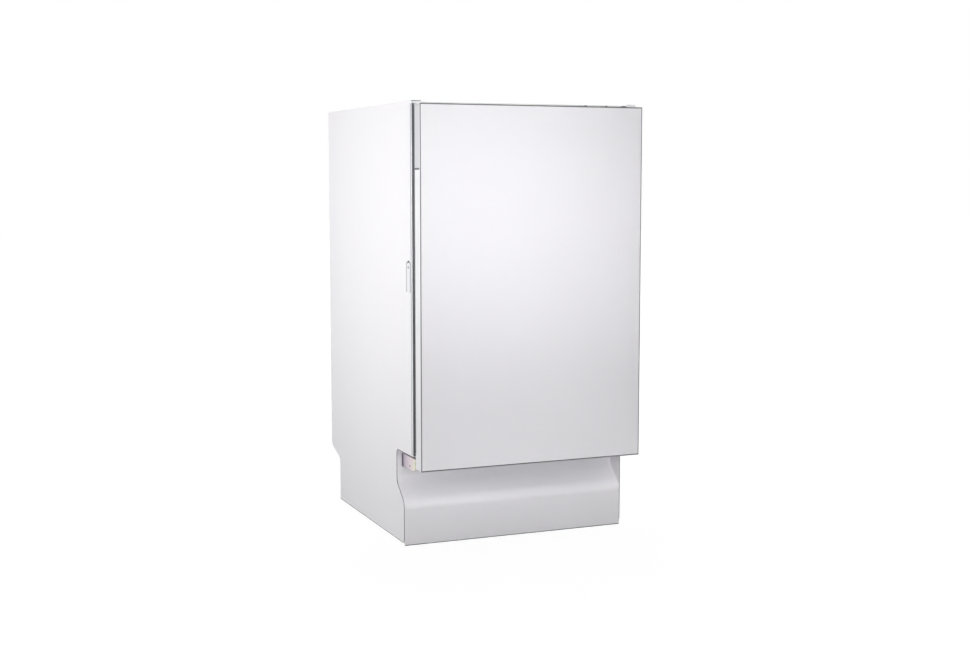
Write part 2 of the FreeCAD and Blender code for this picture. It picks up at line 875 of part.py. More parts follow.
def base_tray():
    """The moulded base: a tray with hinge towers, rear posts, foot bosses and rear openings."""
    tray = box((-SKIN, SKIN), (BASE_FRONT, BASE_BACK), (BASE_LOW, BASE_RIM))
    wall = size.base_wall
    hollow = box((-SKIN + wall, SKIN - wall), (BASE_FRONT + wall, BASE_WALL_Y), (BASE_FLOOR, BASE_RIM))
    bend_room = box((-SKIN, SKIN), (BASE_FRONT, BASE_FRONT + wall),
                    (size.slope_low - size.front_rim_drop, BASE_RIM))
    shell = cut(tray, hollow, bend_room)
    raised = []
    slots = []
    for side in SIDES.values():
        raised.append(box(mirrored(side, TOWER_IN, SKIN), (TOWER_FRONT, TOWER_FRONT + size.tower_depth),
                          (BASE_FLOOR, NOTCH_TOP)))
        slots.append(box(mirrored(side, HINGE_IN, HINGE_OUT + size.hinge_slot_gap),
                         (TOWER_FRONT, HINGE_NOSE + size.hinge_plate_length), (HINGE_LOW, HINGE_HIGH)))
        raised.append(box(mirrored(side, TUB_IN - size.post_width, TUB_IN),
                          (BASE_WALL_Y - size.post_inset, BASE_WALL_Y - size.post_inset + size.post_depth),
                          (BASE_FLOOR, UNDER_FLOOR)))
    bores = []
    boss_height = size.foot_stem_length - size.base_sheet
    for x, y in FEET.values():
        raised.append(rod("z", (x, y, BASE_FLOOR), FOOT_BORE + size.foot_boss_wall, boss_height))
        bores.append(rod("z", (x, y, BASE_LOW), FOOT_BORE, size.base_sheet + boss_height))
    ports = [
        wall_hole(INLET, size.inlet_radius + size.inlet_collar),
        wall_hole(DRAIN, size.drain_radius + size.drain_collar),
        wall_hole(GLAND, size.gland_radius),
    ]
    return node("base_tray", cut(fuse(shell, *raised), *slots, *bores, *ports))


def foot(label, x, y):
    """A screwed-in levelling foot: a pad under a stem that runs up into its boss."""
    radius = size.foot_stem_radius
    stem_top = BASE_LOW + size.foot_stem_length
    outline = [
        (Size.of(0), Size.of(0)), (size.foot_radius, Size.of(0)), (size.foot_radius, size.foot_pad),
        (radius, size.foot_pad), (radius, stem_top), (Size.of(0), stem_top),
    ]
    return node(label, turned("z", (x, y, Size.of(0)), outline))


# Hinges
def hinge_bracket(label, side):
    """The fixed hinge plate that comes out of the tower and carries the pin at its tapered nose."""
    x = mirrored(side, HINGE_IN, HINGE_OUT)
    tail = HINGE_NOSE + size.hinge_plate_length
    outline = [
        (HINGE_NOSE, HINGE_LOW + size.hinge_plate_slant_rise),
        (HINGE_NOSE + size.hinge_plate_slant_run, HINGE_LOW),
        (tail, HINGE_LOW), (tail, HINGE_HIGH), (HINGE_NOSE, HINGE_HIGH),
    ]
    plate = new_body("x", x[0])
    pad(plate, "x", outline, size.hinge_sheet)
    hole = rod("x", (x[0], HINGE_Y, HINGE_Z), size.hinge_pin_radius, size.hinge_sheet)
    return node(label, cut(plate, hole))


def hinge_pin(side):
    """A headed pin held in the bracket, on which the door arm turns."""
    head = size.hinge_head_height
    inner = HINGE_IN - head
    outer = ARM_OUT + size.slide_gap
    shank = outer - inner
    radius = size.hinge_pin_radius
    zero = Size.of(0)
    outline = [
        (zero, zero), (size.hinge_head_radius, zero), (size.hinge_head_radius, head), (radius, head),
        (radius, shank), (size.hinge_head_radius, shank), (size.hinge_head_radius, shank + head),
        (zero, shank + head),
    ]
    pin = turned("x", (inner, HINGE_Y, HINGE_Z), outline)
    if side < 0:
        pin.Placement = Placement(Vector(), Rotation(Vector(0, 1, 0), -90))
        place(pin, (-inner, HINGE_Y, HINGE_Z))
    return pin


EDGE_BACK = LINER - size.edge_wall
ARM_FRONT = RETURN + size.edge_wall + size.slide_gap


def hinge_arm(label, side):
    """The door's hinge arm: a leg inside the door edge and a foot that turns on the pin."""
    low = size.door_bottom + size.door_sheet + size.slide_gap
    heel = HINGE_Z - size.hinge_arm_heel
    high = HINGE_Z + size.hinge_arm_foot
    tail = HINGE_Y + size.hinge_arm_tail
    top = HINGE_Z + size.hinge_arm_rise
    outline = [
        (ARM_FRONT, low), (HINGE_NOSE, low), (HINGE_Y, heel), (tail, heel), (tail, high), (EDGE_BACK, high),
        (EDGE_BACK, top), (ARM_FRONT, top),
    ]
    x = mirrored(side, ARM_IN, ARM_OUT)
    body = new_body("x", x[0])
    pad(body, "x", outline, size.hinge_sheet)
    hole = rod("x", (x[0], HINGE_Y, HINGE_Z), size.hinge_pin_radius + size.running_gap, size.hinge_sheet)
    return node(label, cut(body, hole))


# Door
def door_outer_panel():
    """The painted front sheet with folded edges."""
    sheet = size.door_sheet
    outer = box((-DOOR_SIDE, DOOR_SIDE), (FRONT, RETURN), (size.door_bottom, DOOR_TOP))
    inner = box((-DOOR_SIDE + sheet, DOOR_SIDE - sheet), (FRONT + sheet, RETURN),
                (size.door_bottom + sheet, DOOR_TOP - sheet))
    return node("door_outer_panel", cut(outer, inner))


def door_edge(side):
    """A white channel down one side of the door, open towards the middle."""
    low = size.door_bottom + size.door_sheet
    wall = size.edge_wall
    span = mirrored(side, DOOR_SIDE - size.edge_width, DOOR_SIDE)
    hollow = mirrored(side, DOOR_SIDE - size.edge_width, DOOR_SIDE - wall)
    channel = box(span, (RETURN, LINER), (low, CONSOLE_LOW))
    inside = box(hollow, (RETURN + wall, EDGE_BACK), (low, CONSOLE_LOW))
    way_out = box(hollow, (EDGE_BACK, LINER), (low, EDGE_CUT))
    return cut(channel, inside, way_out)


DISPENSER_X = -size.dispenser_offset
BODY_HALF_X = size.dispenser_width / 2 - size.bezel_lap
BODY_HALF_Z = size.dispenser_height / 2 - size.bezel_lap
LATCH_TOP = FASCIA_LOW - size.rest_gap
LATCH_SLOT_HIGH = LATCH_TOP - size.latch_roof
STRIKE_Z = LATCH_SLOT_HIGH - size.latch_slot_gap - size.strike_sheet
LATCH_SLOT_LOW = STRIKE_Z - size.latch_slot_gap


def around(middle, half):
    """A span that reaches equally far on both sides of a middle."""
    return (middle - half, middle + half)


def door_inner_liner():
    """The steel inner door with its pressed pan and openings for the latch, dispenser and hinges."""
    sheet = size.liner_sheet
    low = size.door_bottom + size.door_sheet
    flat = box((-DOOR_SIDE, DOOR_SIDE), (LINER, DOOR_BACK), (low, DOOR_TOP))
    half = DOOR_SIDE - size.liner_pan_inset
    pan = box((-half, half), (LINER, PAN), (size.liner_pan_low, size.liner_pan_high))
    behind_pan = box((-half + sheet, half - sheet), (LINER, PAN - sheet),
                     (size.liner_pan_low + sheet, size.liner_pan_high - sheet))
    latch_slot = box(around(Size.of(0), size.strike_width / 2 + size.latch_slot_gap), (LINER, DOOR_BACK),
                     (LATCH_SLOT_LOW, LATCH_SLOT_HIGH))
    dispenser_hole = box(around(DISPENSER_X, BODY_HALF_X), (LINER, PAN),
                         around(size.dispenser_centre, BODY_HALF_Z))
    ways_out = [
        box(mirrored(side, DOOR_SIDE - size.edge_width, DOOR_SIDE), (LINER, DOOR_BACK),
            (low, EDGE_CUT))
        for side in SIDES.values()]
    liner = cut(fuse(flat, pan), behind_pan, latch_slot, dispenser_hole, *ways_out)
    return node("door_inner_liner", liner)


def control_console():
    """The grey housing behind the top of the door front, open to the front, back and top."""
    wall = size.console_wall
    outer = box((-DOOR_SIDE, DOOR_SIDE), (RETURN, LINER), (CONSOLE_LOW, FASCIA_LOW))
    inner = box((-DOOR_SIDE + wall, DOOR_SIDE - wall), (RETURN, LINER),
                (CONSOLE_LOW + wall, FASCIA_LOW))
    return node("control_console", cut(outer, inner))


BUTTONS = {
    "power_button": DOOR_SIDE - size.button_first_inset,
    "program_button": DOOR_SIDE - size.button_second_inset,
    "start_button": DOOR_SIDE - size.button_third_inset,
}
BUTTON_Y = FRONT + size.button_setback
DISPLAY_LOW = DOOR_TOP - size.display_sheet


def control_fascia():
    """The white strip on the top edge of the door with its button holes and display recess."""
    strip = box((-DOOR_SIDE, DOOR_SIDE), (RETURN, LINER), (FASCIA_LOW, DOOR_TOP))
    gap = size.slide_gap * 2
    holes = [
        box(centred(x, size.button_width + gap), centred(BUTTON_Y, size.button_depth + gap),
            (FASCIA_LOW, DOOR_TOP))
        for x in BUTTONS.values()]
    recess = box(centred(size.display_offset, size.display_width), centred(BUTTON_Y, size.display_depth),
                 (DISPLAY_LOW, DOOR_TOP))
    return node("control_fascia", cut(strip, recess, *holes))


def button(label, x):
    """A push button whose lip holds it under the fascia."""
    lip_top = FASCIA_LOW - size.rest_gap
    lip_low = lip_top - size.button_lip_height
    key = box(centred(x, size.button_width), centred(BUTTON_Y, size.button_depth),
              (lip_low, DOOR_TOP + size.button_rise))
    lip = box(centred(x, size.button_width + size.button_lip * 2),
              centred(BUTTON_Y, size.button_depth + size.button_lip * 2), (lip_low, lip_top))
    return node(label, fuse(key, lip))


def display_window():
    """The clear window let into the fascia."""
    window = box(centred(size.display_offset, size.display_width), centred(BUTTON_Y, size.display_depth),
                 (DISPLAY_LOW, DOOR_TOP))
    return node("display_window", window)


# Latch
PAWL_Y = LINER - size.pawl_pivot_reach
PAWL_Z = STRIKE_Z - size.pawl_pivot_drop
STRIKE_FRONT = TUB_FRONT - size.strike_plate - size.strike_reach
WINDOW_FRONT = STRIKE_FRONT + size.strike_window_inset


def latch_strike():
    """The steel tongue on the tub flange that the door latch catches."""
    plate_front = TUB_FRONT - size.strike_plate
    plate = box(centred(Size.of(0), size.strike_plate_width), (plate_front, TUB_FRONT),
                (STRIKE_Z, STRIKE_Z + size.strike_plate_height))
    tongue = box(centred(Size.of(0), size.strike_width), (STRIKE_FRONT, plate_front),
                 (STRIKE_Z, STRIKE_Z + size.strike_sheet))
    window = box(centred(Size.of(0), size.strike_window_width),
                 (WINDOW_FRONT, WINDOW_FRONT + size.strike_window_depth),
                 (STRIKE_Z, STRIKE_Z + size.strike_sheet))
    return node("latch_strike", cut(fuse(plate, tongue), window))


def latch_housing():
    """The latch case behind the liner with a slot for the tongue and a pin for the pawl."""
    front = LINER - size.latch_depth
    case = box(centred(Size.of(0), size.latch_width), (front, LINER),
               (STRIKE_Z - size.latch_drop, LATCH_TOP))
    slot = box(around(Size.of(0), size.strike_width / 2 + size.latch_slot_gap),
               (front + size.latch_cavity_wall, LINER), (LATCH_SLOT_LOW, LATCH_SLOT_HIGH))
    cavity_x = centred(Size.of(0), size.latch_cavity_width)
    cavity = box(cavity_x, (front + size.latch_cavity_wall, LINER),
                 (STRIKE_Z - size.latch_cavity_drop, LATCH_SLOT_LOW))
    pin = rod("x", (cavity_x[0], PAWL_Y, PAWL_Z), size.pawl_pin_radius, size.latch_cavity_width)
    return node("latch_housing", fuse(cut(case, slot, cavity), pin))


def latch_pawl():
    """The sprung pawl whose tooth stands in the window of the tongue."""
    thick = size.pawl_thickness
    heel = PAWL_Y - thick
    low = PAWL_Z - thick
    tooth_front = WINDOW_FRONT + (size.strike_window_depth - thick) / 2
    tooth_back = tooth_front + thick
    tip = STRIKE_Z + size.pawl_tooth
    heel_low = (heel, low)
    heel_high = (heel, PAWL_Z + thick)
    outline = [
        heel_low, (tooth_back, low), (tooth_back, tip), (tooth_front, tip),
        (tooth_front, PAWL_Z + thick), heel_high,
    ]
    half = size.pawl_width / 2
    body = new_body("x", -half)
    pad(body, "x", outline, size.pawl_width)
    round_corners(body, "x", [heel_low, heel_high], size.pawl_heel_radius)
    hole = rod("x", (-half, PAWL_Y, PAWL_Z), size.pawl_pin_radius + size.running_gap, size.pawl_width)
    return node("latch_pawl", cut(body, hole))


# Dispenser
BEZEL = PAN + size.bezel_rise
CUP_X = DISPENSER_X - size.cup_offset
RINSE_X = DISPENSER_X + size.rinse_offset
LID_HALF_X = size.cup_width / 2 + size.lid_lap
LID_HALF_Z = size.cup_height / 2 + size.lid_lap
LID_Y = BEZEL + size.slide_gap


def dispenser_body():
    """The dispenser case with its bezel, detergent cup, lid guides and rinse-aid neck."""
    z = size.dispenser_centre
    case = box(around(DISPENSER_X, BODY_HALF_X), (PAN - size.dispenser_depth, PAN), around(z, BODY_HALF_Z))
    bezel = box(centred(DISPENSER_X, size.dispenser_width), (PAN, BEZEL), centred(z, size.dispenser_height))
    guide_x = (CUP_X - LID_HALF_X - size.lid_travel, CUP_X + LID_HALF_X)
    guide_start = LID_HALF_Z + size.slide_gap
    guide_end = guide_start + size.guide_height
    guide_y = (BEZEL, BEZEL + size.guide_rise)
    guides = [
        box(guide_x, guide_y, (z + guide_start, z + guide_end)),
        box(guide_x, guide_y, (z - guide_end, z - guide_start)),
    ]
    cup = box(centred(CUP_X, size.cup_width), (BEZEL - size.cup_depth, BEZEL), centred(z, size.cup_height))
    neck_depth = size.rinse_neck_length + size.slide_gap
    neck = rod("y", (RINSE_X, BEZEL - neck_depth, z), size.rinse_neck_radius + size.running_gap, neck_depth)
    return node("dispenser_body", cut(fuse(case, bezel, *guides), cup, neck))


def dispenser_lid():
    """The lid that slides sideways off the detergent cup."""
    lid = box(around(CUP_X, LID_HALF_X), (LID_Y, LID_Y + size.lid_thickness),
              around(size.dispenser_centre, LID_HALF_Z))
    return node("dispenser_lid", lid)


def rinse_cap():
    """The rinse-aid cap, turned by its grip."""
    zero = Size.of(0)
    neck = size.rinse_neck_radius
    rim = size.rinse_neck_length + size.slide_gap
    top = rim + size.rinse_height
    outline = [
        (zero, zero), (neck, zero), (neck, rim), (size.rinse_radius, rim), (size.rinse_radius, top),
        (zero, top),
    ]
    start = BEZEL - size.rinse_neck_length
    cap = turned("y", (RINSE_X, start, size.dispenser_centre), outline)
    grip = box(centred(RINSE_X, size.rinse_radius * 2 - size.rinse_grip_width),
               (start + top, start + top + size.rinse_grip_height),
               centred(size.dispenser_centre, size.rinse_grip_width))
    return node("rinse_cap", fuse(cap, grip))


# Spray arms
def spray_arm(label, y, low, reach, bore):
    """A spray arm that is widest at its hub and tapers to round tips."""
    waist = size.arm_waist / 2
    tip = size.arm_tip / 2
    tips = [(-reach, -tip), (reach, -tip), (reach, tip), (-reach, tip)]
    outline = [tips[0], (Size.of(0), -waist), tips[1], tips[2], (Size.of(0), waist), tips[3]]
    body = new_body("z", low)
    bind(body, "Placement.Base.y", y)
    pad(body, "z", outline, size.arm_thickness)
    round_corners(body, "z", tips, size.arm_tip_radius)
    hole = rod("z", (Size.of(0), y, low), bore, size.arm_thickness)
    return node(label, cut(body, hole))


def spray_arm_hub():
    """The post on the tub floor that the lower arm turns on, with its collar and cap."""
    zero = Size.of(0)
    wide = size.hub_radius + size.hub_collar
    collar = size.lower_arm_height - size.rest_gap
    neck = size.lower_arm_height + size.arm_thickness + size.rest_gap
    outline = [
        (zero, zero), (wide, zero), (wide, collar), (size.hub_radius, collar), (size.hub_radius, neck),
        (wide, neck), (wide, neck + size.hub_cap), (zero, neck + size.hub_cap),
    ]
    return node("spray_arm_hub", turned("z", (zero, LOWER_ARM_Y, FLOOR), outline))


# Pieces in the tub floor
def filter_plate():
    """The fine filter sheet that lies on the tub floor round the filter cylinder."""
    half = size.filter_plate_half
    top = FLOOR + size.filter_plate_sheet
    plate = box(around(FILTER[0], half), around(FILTER[1], half), (FLOOR, top))
    hole = rod("z", (*FILTER, FLOOR), size.filter_radius + size.slide_gap, size.filter_plate_sheet)
    return node("filter_plate", cut(plate, hole))


def filter_cylinder():
    """The twist-in filter with its rim and grip."""
    zero = Size.of(0)
    rim = size.filter_drop + size.filter_plate_sheet + size.rest_gap
    top = rim + size.filter_rim_height
    radius = size.filter_radius
    outline = [
        (zero, zero), (radius, zero), (radius, rim), (radius + size.filter_rim, rim),
        (radius + size.filter_rim, top), (zero, top),
    ]
    start = FLOOR - size.filter_drop
    drum = turned("z", (*FILTER, start), outline)
    grip = box(centred(FILTER[0], size.filter_grip_length), centred(FILTER[1], size.filter_grip_width),
               (start + top, start + top + size.filter_grip_height))
    return node("filter_cylinder", fuse(drum, grip))


def salt_cap():
    """The screw cap of the salt container, flush over the tub floor."""
    zero = Size.of(0)
    seat = size.salt_plug_length + size.rest_gap
    top = seat + size.salt_cap_height
    plug = size.salt_bore_radius
    outline = [
        (zero, zero), (plug, zero), (plug, seat), (size.salt_cap_radius, seat),
        (size.salt_cap_radius, top), (zero, top),
    ]
    start = FLOOR - size.salt_plug_length
    cap = turned("z", (*SALT, start), outline)
    grip = box(centred(SALT[0], size.salt_cap_radius * 2 - size.salt_grip_width),
               centred(SALT[1], size.salt_grip_width),
               (start + top, start + top + size.salt_grip_height))
    return node("salt_cap", fuse(cap, grip))


def float_switch():
    """The overflow float with a stem through the tub floor."""
    zero = Size.of(0)
    stem = size.float_stem_radius
    seat = size.float_stem_length + size.rest_gap
    top = seat + size.float_height
    outline = [
        (zero, zero), (stem, zero), (stem, seat), (size.float_radius, seat), (size.float_radius, top),
        (zero, top),
    ]
    start = FLOOR - size.float_stem_length
    return node("float", turned("z", (*FLOAT, start), outline))


# Machine room
SUMP_LEFT = FILTER[0] - size.sump_left
SUMP_RIGHT = FILTER[0] + size.sump_right
SUMP_LOW = UNDER_FLOOR - size.sump_depth
PUMP_Y = SALT[1] + size.softener_rear + size.pump_softener_gap + size.volute_radius
PUMP_Z = UNDER_FLOOR - size.pump_drop
PUMP_START = size.pump_side_gap - SKIN
PUMP_LENGTH = SUMP_LEFT - size.pump_port_length - PUMP_START
MOTOR_LENGTH = PUMP_LENGTH - size.volute_length


def sump():
    """The open-topped sump under the tub floor with ports for both pumps."""
    wall = size.sump_wall
    y = (FILTER[1] - size.sump_front, FILTER[1] + size.sump_rear)
    outer = box((SUMP_LEFT, SUMP_RIGHT), y, (SUMP_LOW, UNDER_FLOOR))
    inner = box((SUMP_LEFT + wall, SUMP_RIGHT - wall), (y[0] + wall, y[1] - wall),
                (SUMP_LOW + wall, UNDER_FLOOR))
    pump_port = rod("x", (SUMP_LEFT, PUMP_Y, PUMP_Z), size.pump_port_bore, wall)
    return node("sump", cut(outer, inner, pump_port))


def circulation_pump():
    """The wash pump: a motor, a volute with its rotor chamber and a port into the sump."""
    zero = Size.of(0)
    motor = MOTOR_LENGTH
    chamber = motor + size.volute_wall
    chamber_end = PUMP_LENGTH - size.volute_wall
    end = PUMP_LENGTH + size.pump_port_length
    shaft_start = chamber - size.shaft_length + size.impeller_gap
    bore = size.shaft_radius + size.running_gap
    outline = [
        (zero, zero), (size.motor_radius, zero), (size.motor_radius, motor), (size.volute_radius, motor),
        (size.volute_radius, PUMP_LENGTH), (size.pump_port_radius, PUMP_LENGTH),
        (size.pump_port_radius, end), (size.pump_port_bore, end), (size.pump_port_bore, chamber_end),
        (size.volute_cavity, chamber_end), (size.volute_cavity, chamber), (bore, chamber),
        (bore, shaft_start), (zero, shaft_start),
    ]
    return node("circulation_pump", turned("x", (PUMP_START, PUMP_Y, PUMP_Z), outline))


def pump_rotor():
    """The impeller and its shaft inside the wash pump."""
    zero = Size.of(0)
    wheel = size.shaft_length
    wheel_end = wheel + size.volute_length - size.volute_wall * 2 - size.impeller_gap * 2
    outline = [
        (zero, zero), (size.shaft_radius, zero), (size.shaft_radius, wheel), (size.impeller_radius, wheel),
        (size.impeller_radius, wheel_end), (zero, wheel_end),
    ]
    start = PUMP_START + MOTOR_LENGTH + size.volute_wall + size.impeller_gap - size.shaft_length
    rotor = turned("x", (start + size.rest_gap, PUMP_Y, PUMP_Z), outline)
    return node("pump_rotor", rotor)


def drain_pump():
    """The drain pump on the right-hand wall of the sump."""
    zero = Size.of(0)
    neck = size.drain_neck_length
    end = neck + size.drain_pump_length
    outline = [
        (zero, zero), (size.drain_neck_radius, zero), (size.drain_neck_radius, neck),
        (size.drain_pump_radius, neck), (size.drain_pump_radius, end), (zero, end),
    ]
    outlet = (SUMP_RIGHT, FILTER[1], UNDER_FLOOR - size.drain_pump_drop)
    return node("drain_pump", turned("x", outlet, outline))


def softener_tank():
    """The water softener with the salt neck that comes up through the tub floor."""
    x = (size.softener_side_gap - SKIN, SUMP_LEFT - size.softener_sump_gap)
    y = (SALT[1] - size.softener_front, SALT[1] + size.softener_rear)
    top = FLOOR - size.softener_neck
    tank = box(x, y, (size.softener_bottom, top))
    neck = rod("z", (*SALT, top), size.salt_neck_radius, size.softener_neck)
    plug_room = size.salt_plug_length + size.slide_gap
    bore = rod("z", (*SALT, FLOOR - plug_room), size.salt_bore_radius + size.running_gap, plug_room)
    return node("softener_tank", cut(fuse(tank, neck), bore))


# Connections on the rear of the base
def inlet_valve():
    """The fill valve: a collar fills the hole in the base wall and the threaded inlet stands out."""
    x, y, z = INLET
    block = box(centred(x, size.inlet_block_width), (y - size.inlet_block_depth, y),
                centred(z, size.inlet_block_height))
    length = size.base_wall + size.inlet_length
    collar = rod("y", INLET, size.inlet_radius + size.inlet_collar, size.base_wall)
    spigot = rod("y", INLET, size.inlet_radius, length)
    bore = rod("y", INLET, size.inlet_bore, length)
    return node("inlet_valve", cut(fuse(block, collar, spigot), bore))


def drain_spigot():
    """The drain outlet: flanged inside the rear wall, with a collar that fills the hole in it."""
    x, y, z = DRAIN
    length = size.drain_inside + size.base_wall + size.drain_outside
    collar_radius = size.drain_radius + size.drain_collar
    pipe = rod("y", (x, y - size.drain_inside, z), size.drain_radius, length)
    collar = rod("y", DRAIN, collar_radius, size.base_wall)
    flange = rod("y", (x, y - size.drain_flange_sheet, z), collar_radius + size.drain_flange,
                 size.drain_flange_sheet)
    bore = rod("y", (x, y - size.drain_inside, z), size.drain_bore, length)
    return node("drain_spigot", cut(fuse(pipe, collar, flange), bore))


def cord_gland():
    """The bushing in the rear wall that a mains lead passes through."""
    x, y, z = GLAND
    length = size.gland_inside + size.base_wall + size.gland_flange_sheet
    sleeve = rod("y", (x, y - size.gland_inside, z), size.gland_radius, length)
    flange = rod("y", (x, y + size.base_wall, z), size.gland_radius + size.gland_flange,
                 size.gland_flange_sheet)
    bore = rod("y", (x, y - size.gland_inside, z), size.gland_bore, length)
    return node("cord_gland", cut(fuse(sleeve, flange), bore))


# Racks
def rack_wires(half, floor, rims, long_count, cross_count):
    """The straight wires of a rack: floor, uprights on four sides and rims round them."""
    radius = size.wire_radius
    end = radius - size.weld
    top = rims[-1]
    wires = []
    for x in spread(-half + size.long_wire_inset, half - size.long_wire_inset, long_count):
        wires.append(rod("y", (x, RACK_FRONT + end, floor), radius, RACK_BACK - RACK_FRONT - end * 2))
        for y in (RACK_FRONT, RACK_BACK):
            wires.append(rod("z", (x, y, floor - radius), radius, top - LAP - floor + radius))
    for y in spread(RACK_FRONT + size.cross_wire_inset, RACK_BACK - size.cross_wire_inset, cross_count):
        wires.append(rod("x", (-half + end, y, floor - LAP), radius, (half - end) * 2))
        for x in (-half, half):
            wires.append(rod("z", (x, y, floor - LAP - radius), radius, top - floor + LAP + radius))
    outer = half + LAP
    front = RACK_FRONT - LAP
    back = RACK_BACK + LAP
    for rim in rims:
        for x in (-outer, outer):
            wires.append(rod("y", (x, front, rim), radius, back - front))
        for y in (front, back):
            wires.append(rod("x", (-outer, y, rim - LAP), radius, outer * 2))
    return wires


WHEEL_OUT = TUB_IN - size.wheel_inset
WHEEL_IN = WHEEL_OUT - size.wheel_width
WHEEL_ROWS = {
    "front_rack_wheels": RACK_FRONT + size.front_wheel_inset,
    "rear_rack_wheels": RACK_BACK - size.rear_wheel_inset,
}


def wheel_bracket(side, y):
    """A block under the rack floor with the stub axle of one wheel."""
    inner = WHEEL_IN - size.slide_gap
    top = LOWER_FLOOR - LAP - size.wire_radius + size.weld
    block = box(mirrored(side, inner - size.wheel_bracket_width, inner),
                centred(y, size.wheel_bracket_depth), (WHEEL_Z - size.wheel_bracket_drop, top))
    axle_x = mirrored(side, inner, WHEEL_OUT + size.axle_overhang)
    axle = rod("x", (axle_x[0], y, WHEEL_Z), size.axle_radius, axle_x[1] - axle_x[0])
    return fuse(block, axle)


TINE_ROWS = spread(-LOWER_HALF + size.long_wire_inset, LOWER_HALF - size.long_wire_inset,
                   size.lower_long_count)
TINE_PLACES = spread(RACK_FRONT + size.tine_inset, RACK_BACK - size.tine_inset, size.tine_count)
WIRE_TOP = LOWER_FLOOR + size.wire_radius - size.weld
FOLD_X = TINE_ROWS[4]
FOLD_Z = LOWER_FLOOR + size.wire_radius + size.slide_gap + size.fold_rod_radius


def tine_clip(y):
    """A clip on a floor wire that holds the rod of the folding tines."""
    block = box(centred(FOLD_X, size.fold_clip_width), centred(y, size.fold_clip_depth),
                (WIRE_TOP, FOLD_Z + size.fold_rod_radius + size.fold_clip_roof))
    bore = rod("y", (FOLD_X, y - size.fold_clip_depth / 2, FOLD_Z), size.fold_rod_radius + size.running_gap,
               size.fold_clip_depth)
    return cut(block, bore)


def folding_tines():
    """A row of plate tines on a rod that folds down towards the cutlery basket."""
    rods = [rod("y", (FOLD_X, RACK_FRONT + size.wire_radius + size.slide_gap, FOLD_Z), size.fold_rod_radius,
                RACK_BACK - RACK_FRONT - (size.wire_radius + size.slide_gap) * 2)]
    foot = FOLD_Z + size.fold_rod_radius - size.weld
    for y in TINE_PLACES:
        rods.append(rod("z", (FOLD_X, y, foot), size.tine_radius, size.tine_height))
    return node("folding_tines", group(rods))


def lower_rack():
    """The lower rack: wires, fixed rows of plate tines, tine clips and the wheel brackets."""
    middle = LOWER_FLOOR + size.lower_rack_height / 2
    wires = rack_wires(LOWER_HALF, LOWER_FLOOR, [middle, LOWER_FLOOR + size.lower_rack_height],
                       size.lower_long_count, size.lower_cross_count)
    for x in (TINE_ROWS[1], TINE_ROWS[3]):
        for y in TINE_PLACES:
            wires.append(rod("z", (x, y, WIRE_TOP), size.tine_radius, size.tine_height))
    brackets = [wheel_bracket(side, y) for y in WHEEL_ROWS.values() for side in SIDES.values()]
    clips = [tine_clip((near + far) / 2) for near, far in (TINE_PLACES[:2], TINE_PLACES[-2:])]
    return node("lower_rack", group(wires + brackets + clips))


def rack_wheel(side, y):
    """One wheel of the lower rack with its axle bore."""
    start = mirrored(side, WHEEL_IN, WHEEL_OUT)[0]
    centre = (start, y, WHEEL_Z)
    disc = rod("x", centre, size.wheel_radius, size.wheel_width)
    bore = rod("x", centre, size.axle_radius + size.running_gap, size.wheel_width)
    return cut(disc, bore)


def cutlery_basket():
    """An open-topped basket of cells in a row that stands in the lower rack."""
    right = LOWER_HALF - size.cutlery_side_gap
    x = (right - size.cutlery_width, right)
    front = RACK_FRONT + size.cutlery_front_gap
    low = LOWER_FLOOR + size.wire_radius + size.rest_gap
    top = low + size.cutlery_height
    wall = size.cutlery_wall
    case = box(x, (front, front + size.cutlery_length), (low, top))
    pitch = (size.cutlery_length - wall) / size.cutlery_cells
    cells = [
        box((x[0] + wall, x[1] - wall), (front + pitch * index + wall, front + pitch * (index + 1)),
            (low + wall, top))
        for index in range(int(size.cutlery_cells.value))]
    return node("cutlery_basket", cut(case, *cells))


MANIFOLD_TOP = UPPER_FLOOR - LAP - size.wire_radius + size.weld
MANIFOLD_LOW = MANIFOLD_TOP - size.manifold_height
UPPER_ARM_TOP = MANIFOLD_LOW - size.upper_hub_drop
UPPER_ARM_LOW = UPPER_ARM_TOP - size.arm_thickness
FEED_FRONT = TUB_BACK - size.feed_depth
SHELF_X = -UPPER_HALF + size.shelf_inset
SHELF_Z = UPPER_FLOOR + size.shelf_height


def runner(side, inset):
    """A block on the rack's side rim that slides inside its rail."""
    inner = UPPER_HALF + LAP + size.wire_radius - size.weld
    outer = RAIL_OUT - size.rail_wall - size.runner_end_gap
    half = size.rail_height / 2 - size.rail_wall - size.slide_gap
    return box(mirrored(side, inner, outer), centred(RACK_BACK - inset, size.runner_length),
               around(RAIL_Z, half))


def upper_manifold():
    """The water channel under the upper rack with the hub of its spray arm."""
    channel = box(around(Size.of(0), size.manifold_half),
                  (UPPER_ARM_Y - size.manifold_front, FEED_FRONT - size.manifold_back_gap),
                  (MANIFOLD_LOW, MANIFOLD_TOP))
    zero = Size.of(0)
    wide = size.upper_hub_radius + size.hub_collar
    cap = size.hub_cap
    neck = cap + size.arm_thickness + size.rest_gap * 2
    end = MANIFOLD_LOW - UPPER_ARM_LOW + cap + size.rest_gap
    outline = [
        (zero, zero), (wide, zero), (wide, cap), (size.upper_hub_radius, cap),
        (size.upper_hub_radius, neck), (wide, neck), (wide, end), (zero, end),
    ]
    hub = turned("z", (zero, UPPER_ARM_Y, UPPER_ARM_LOW - cap - size.rest_gap), outline)
    return fuse(channel, hub)


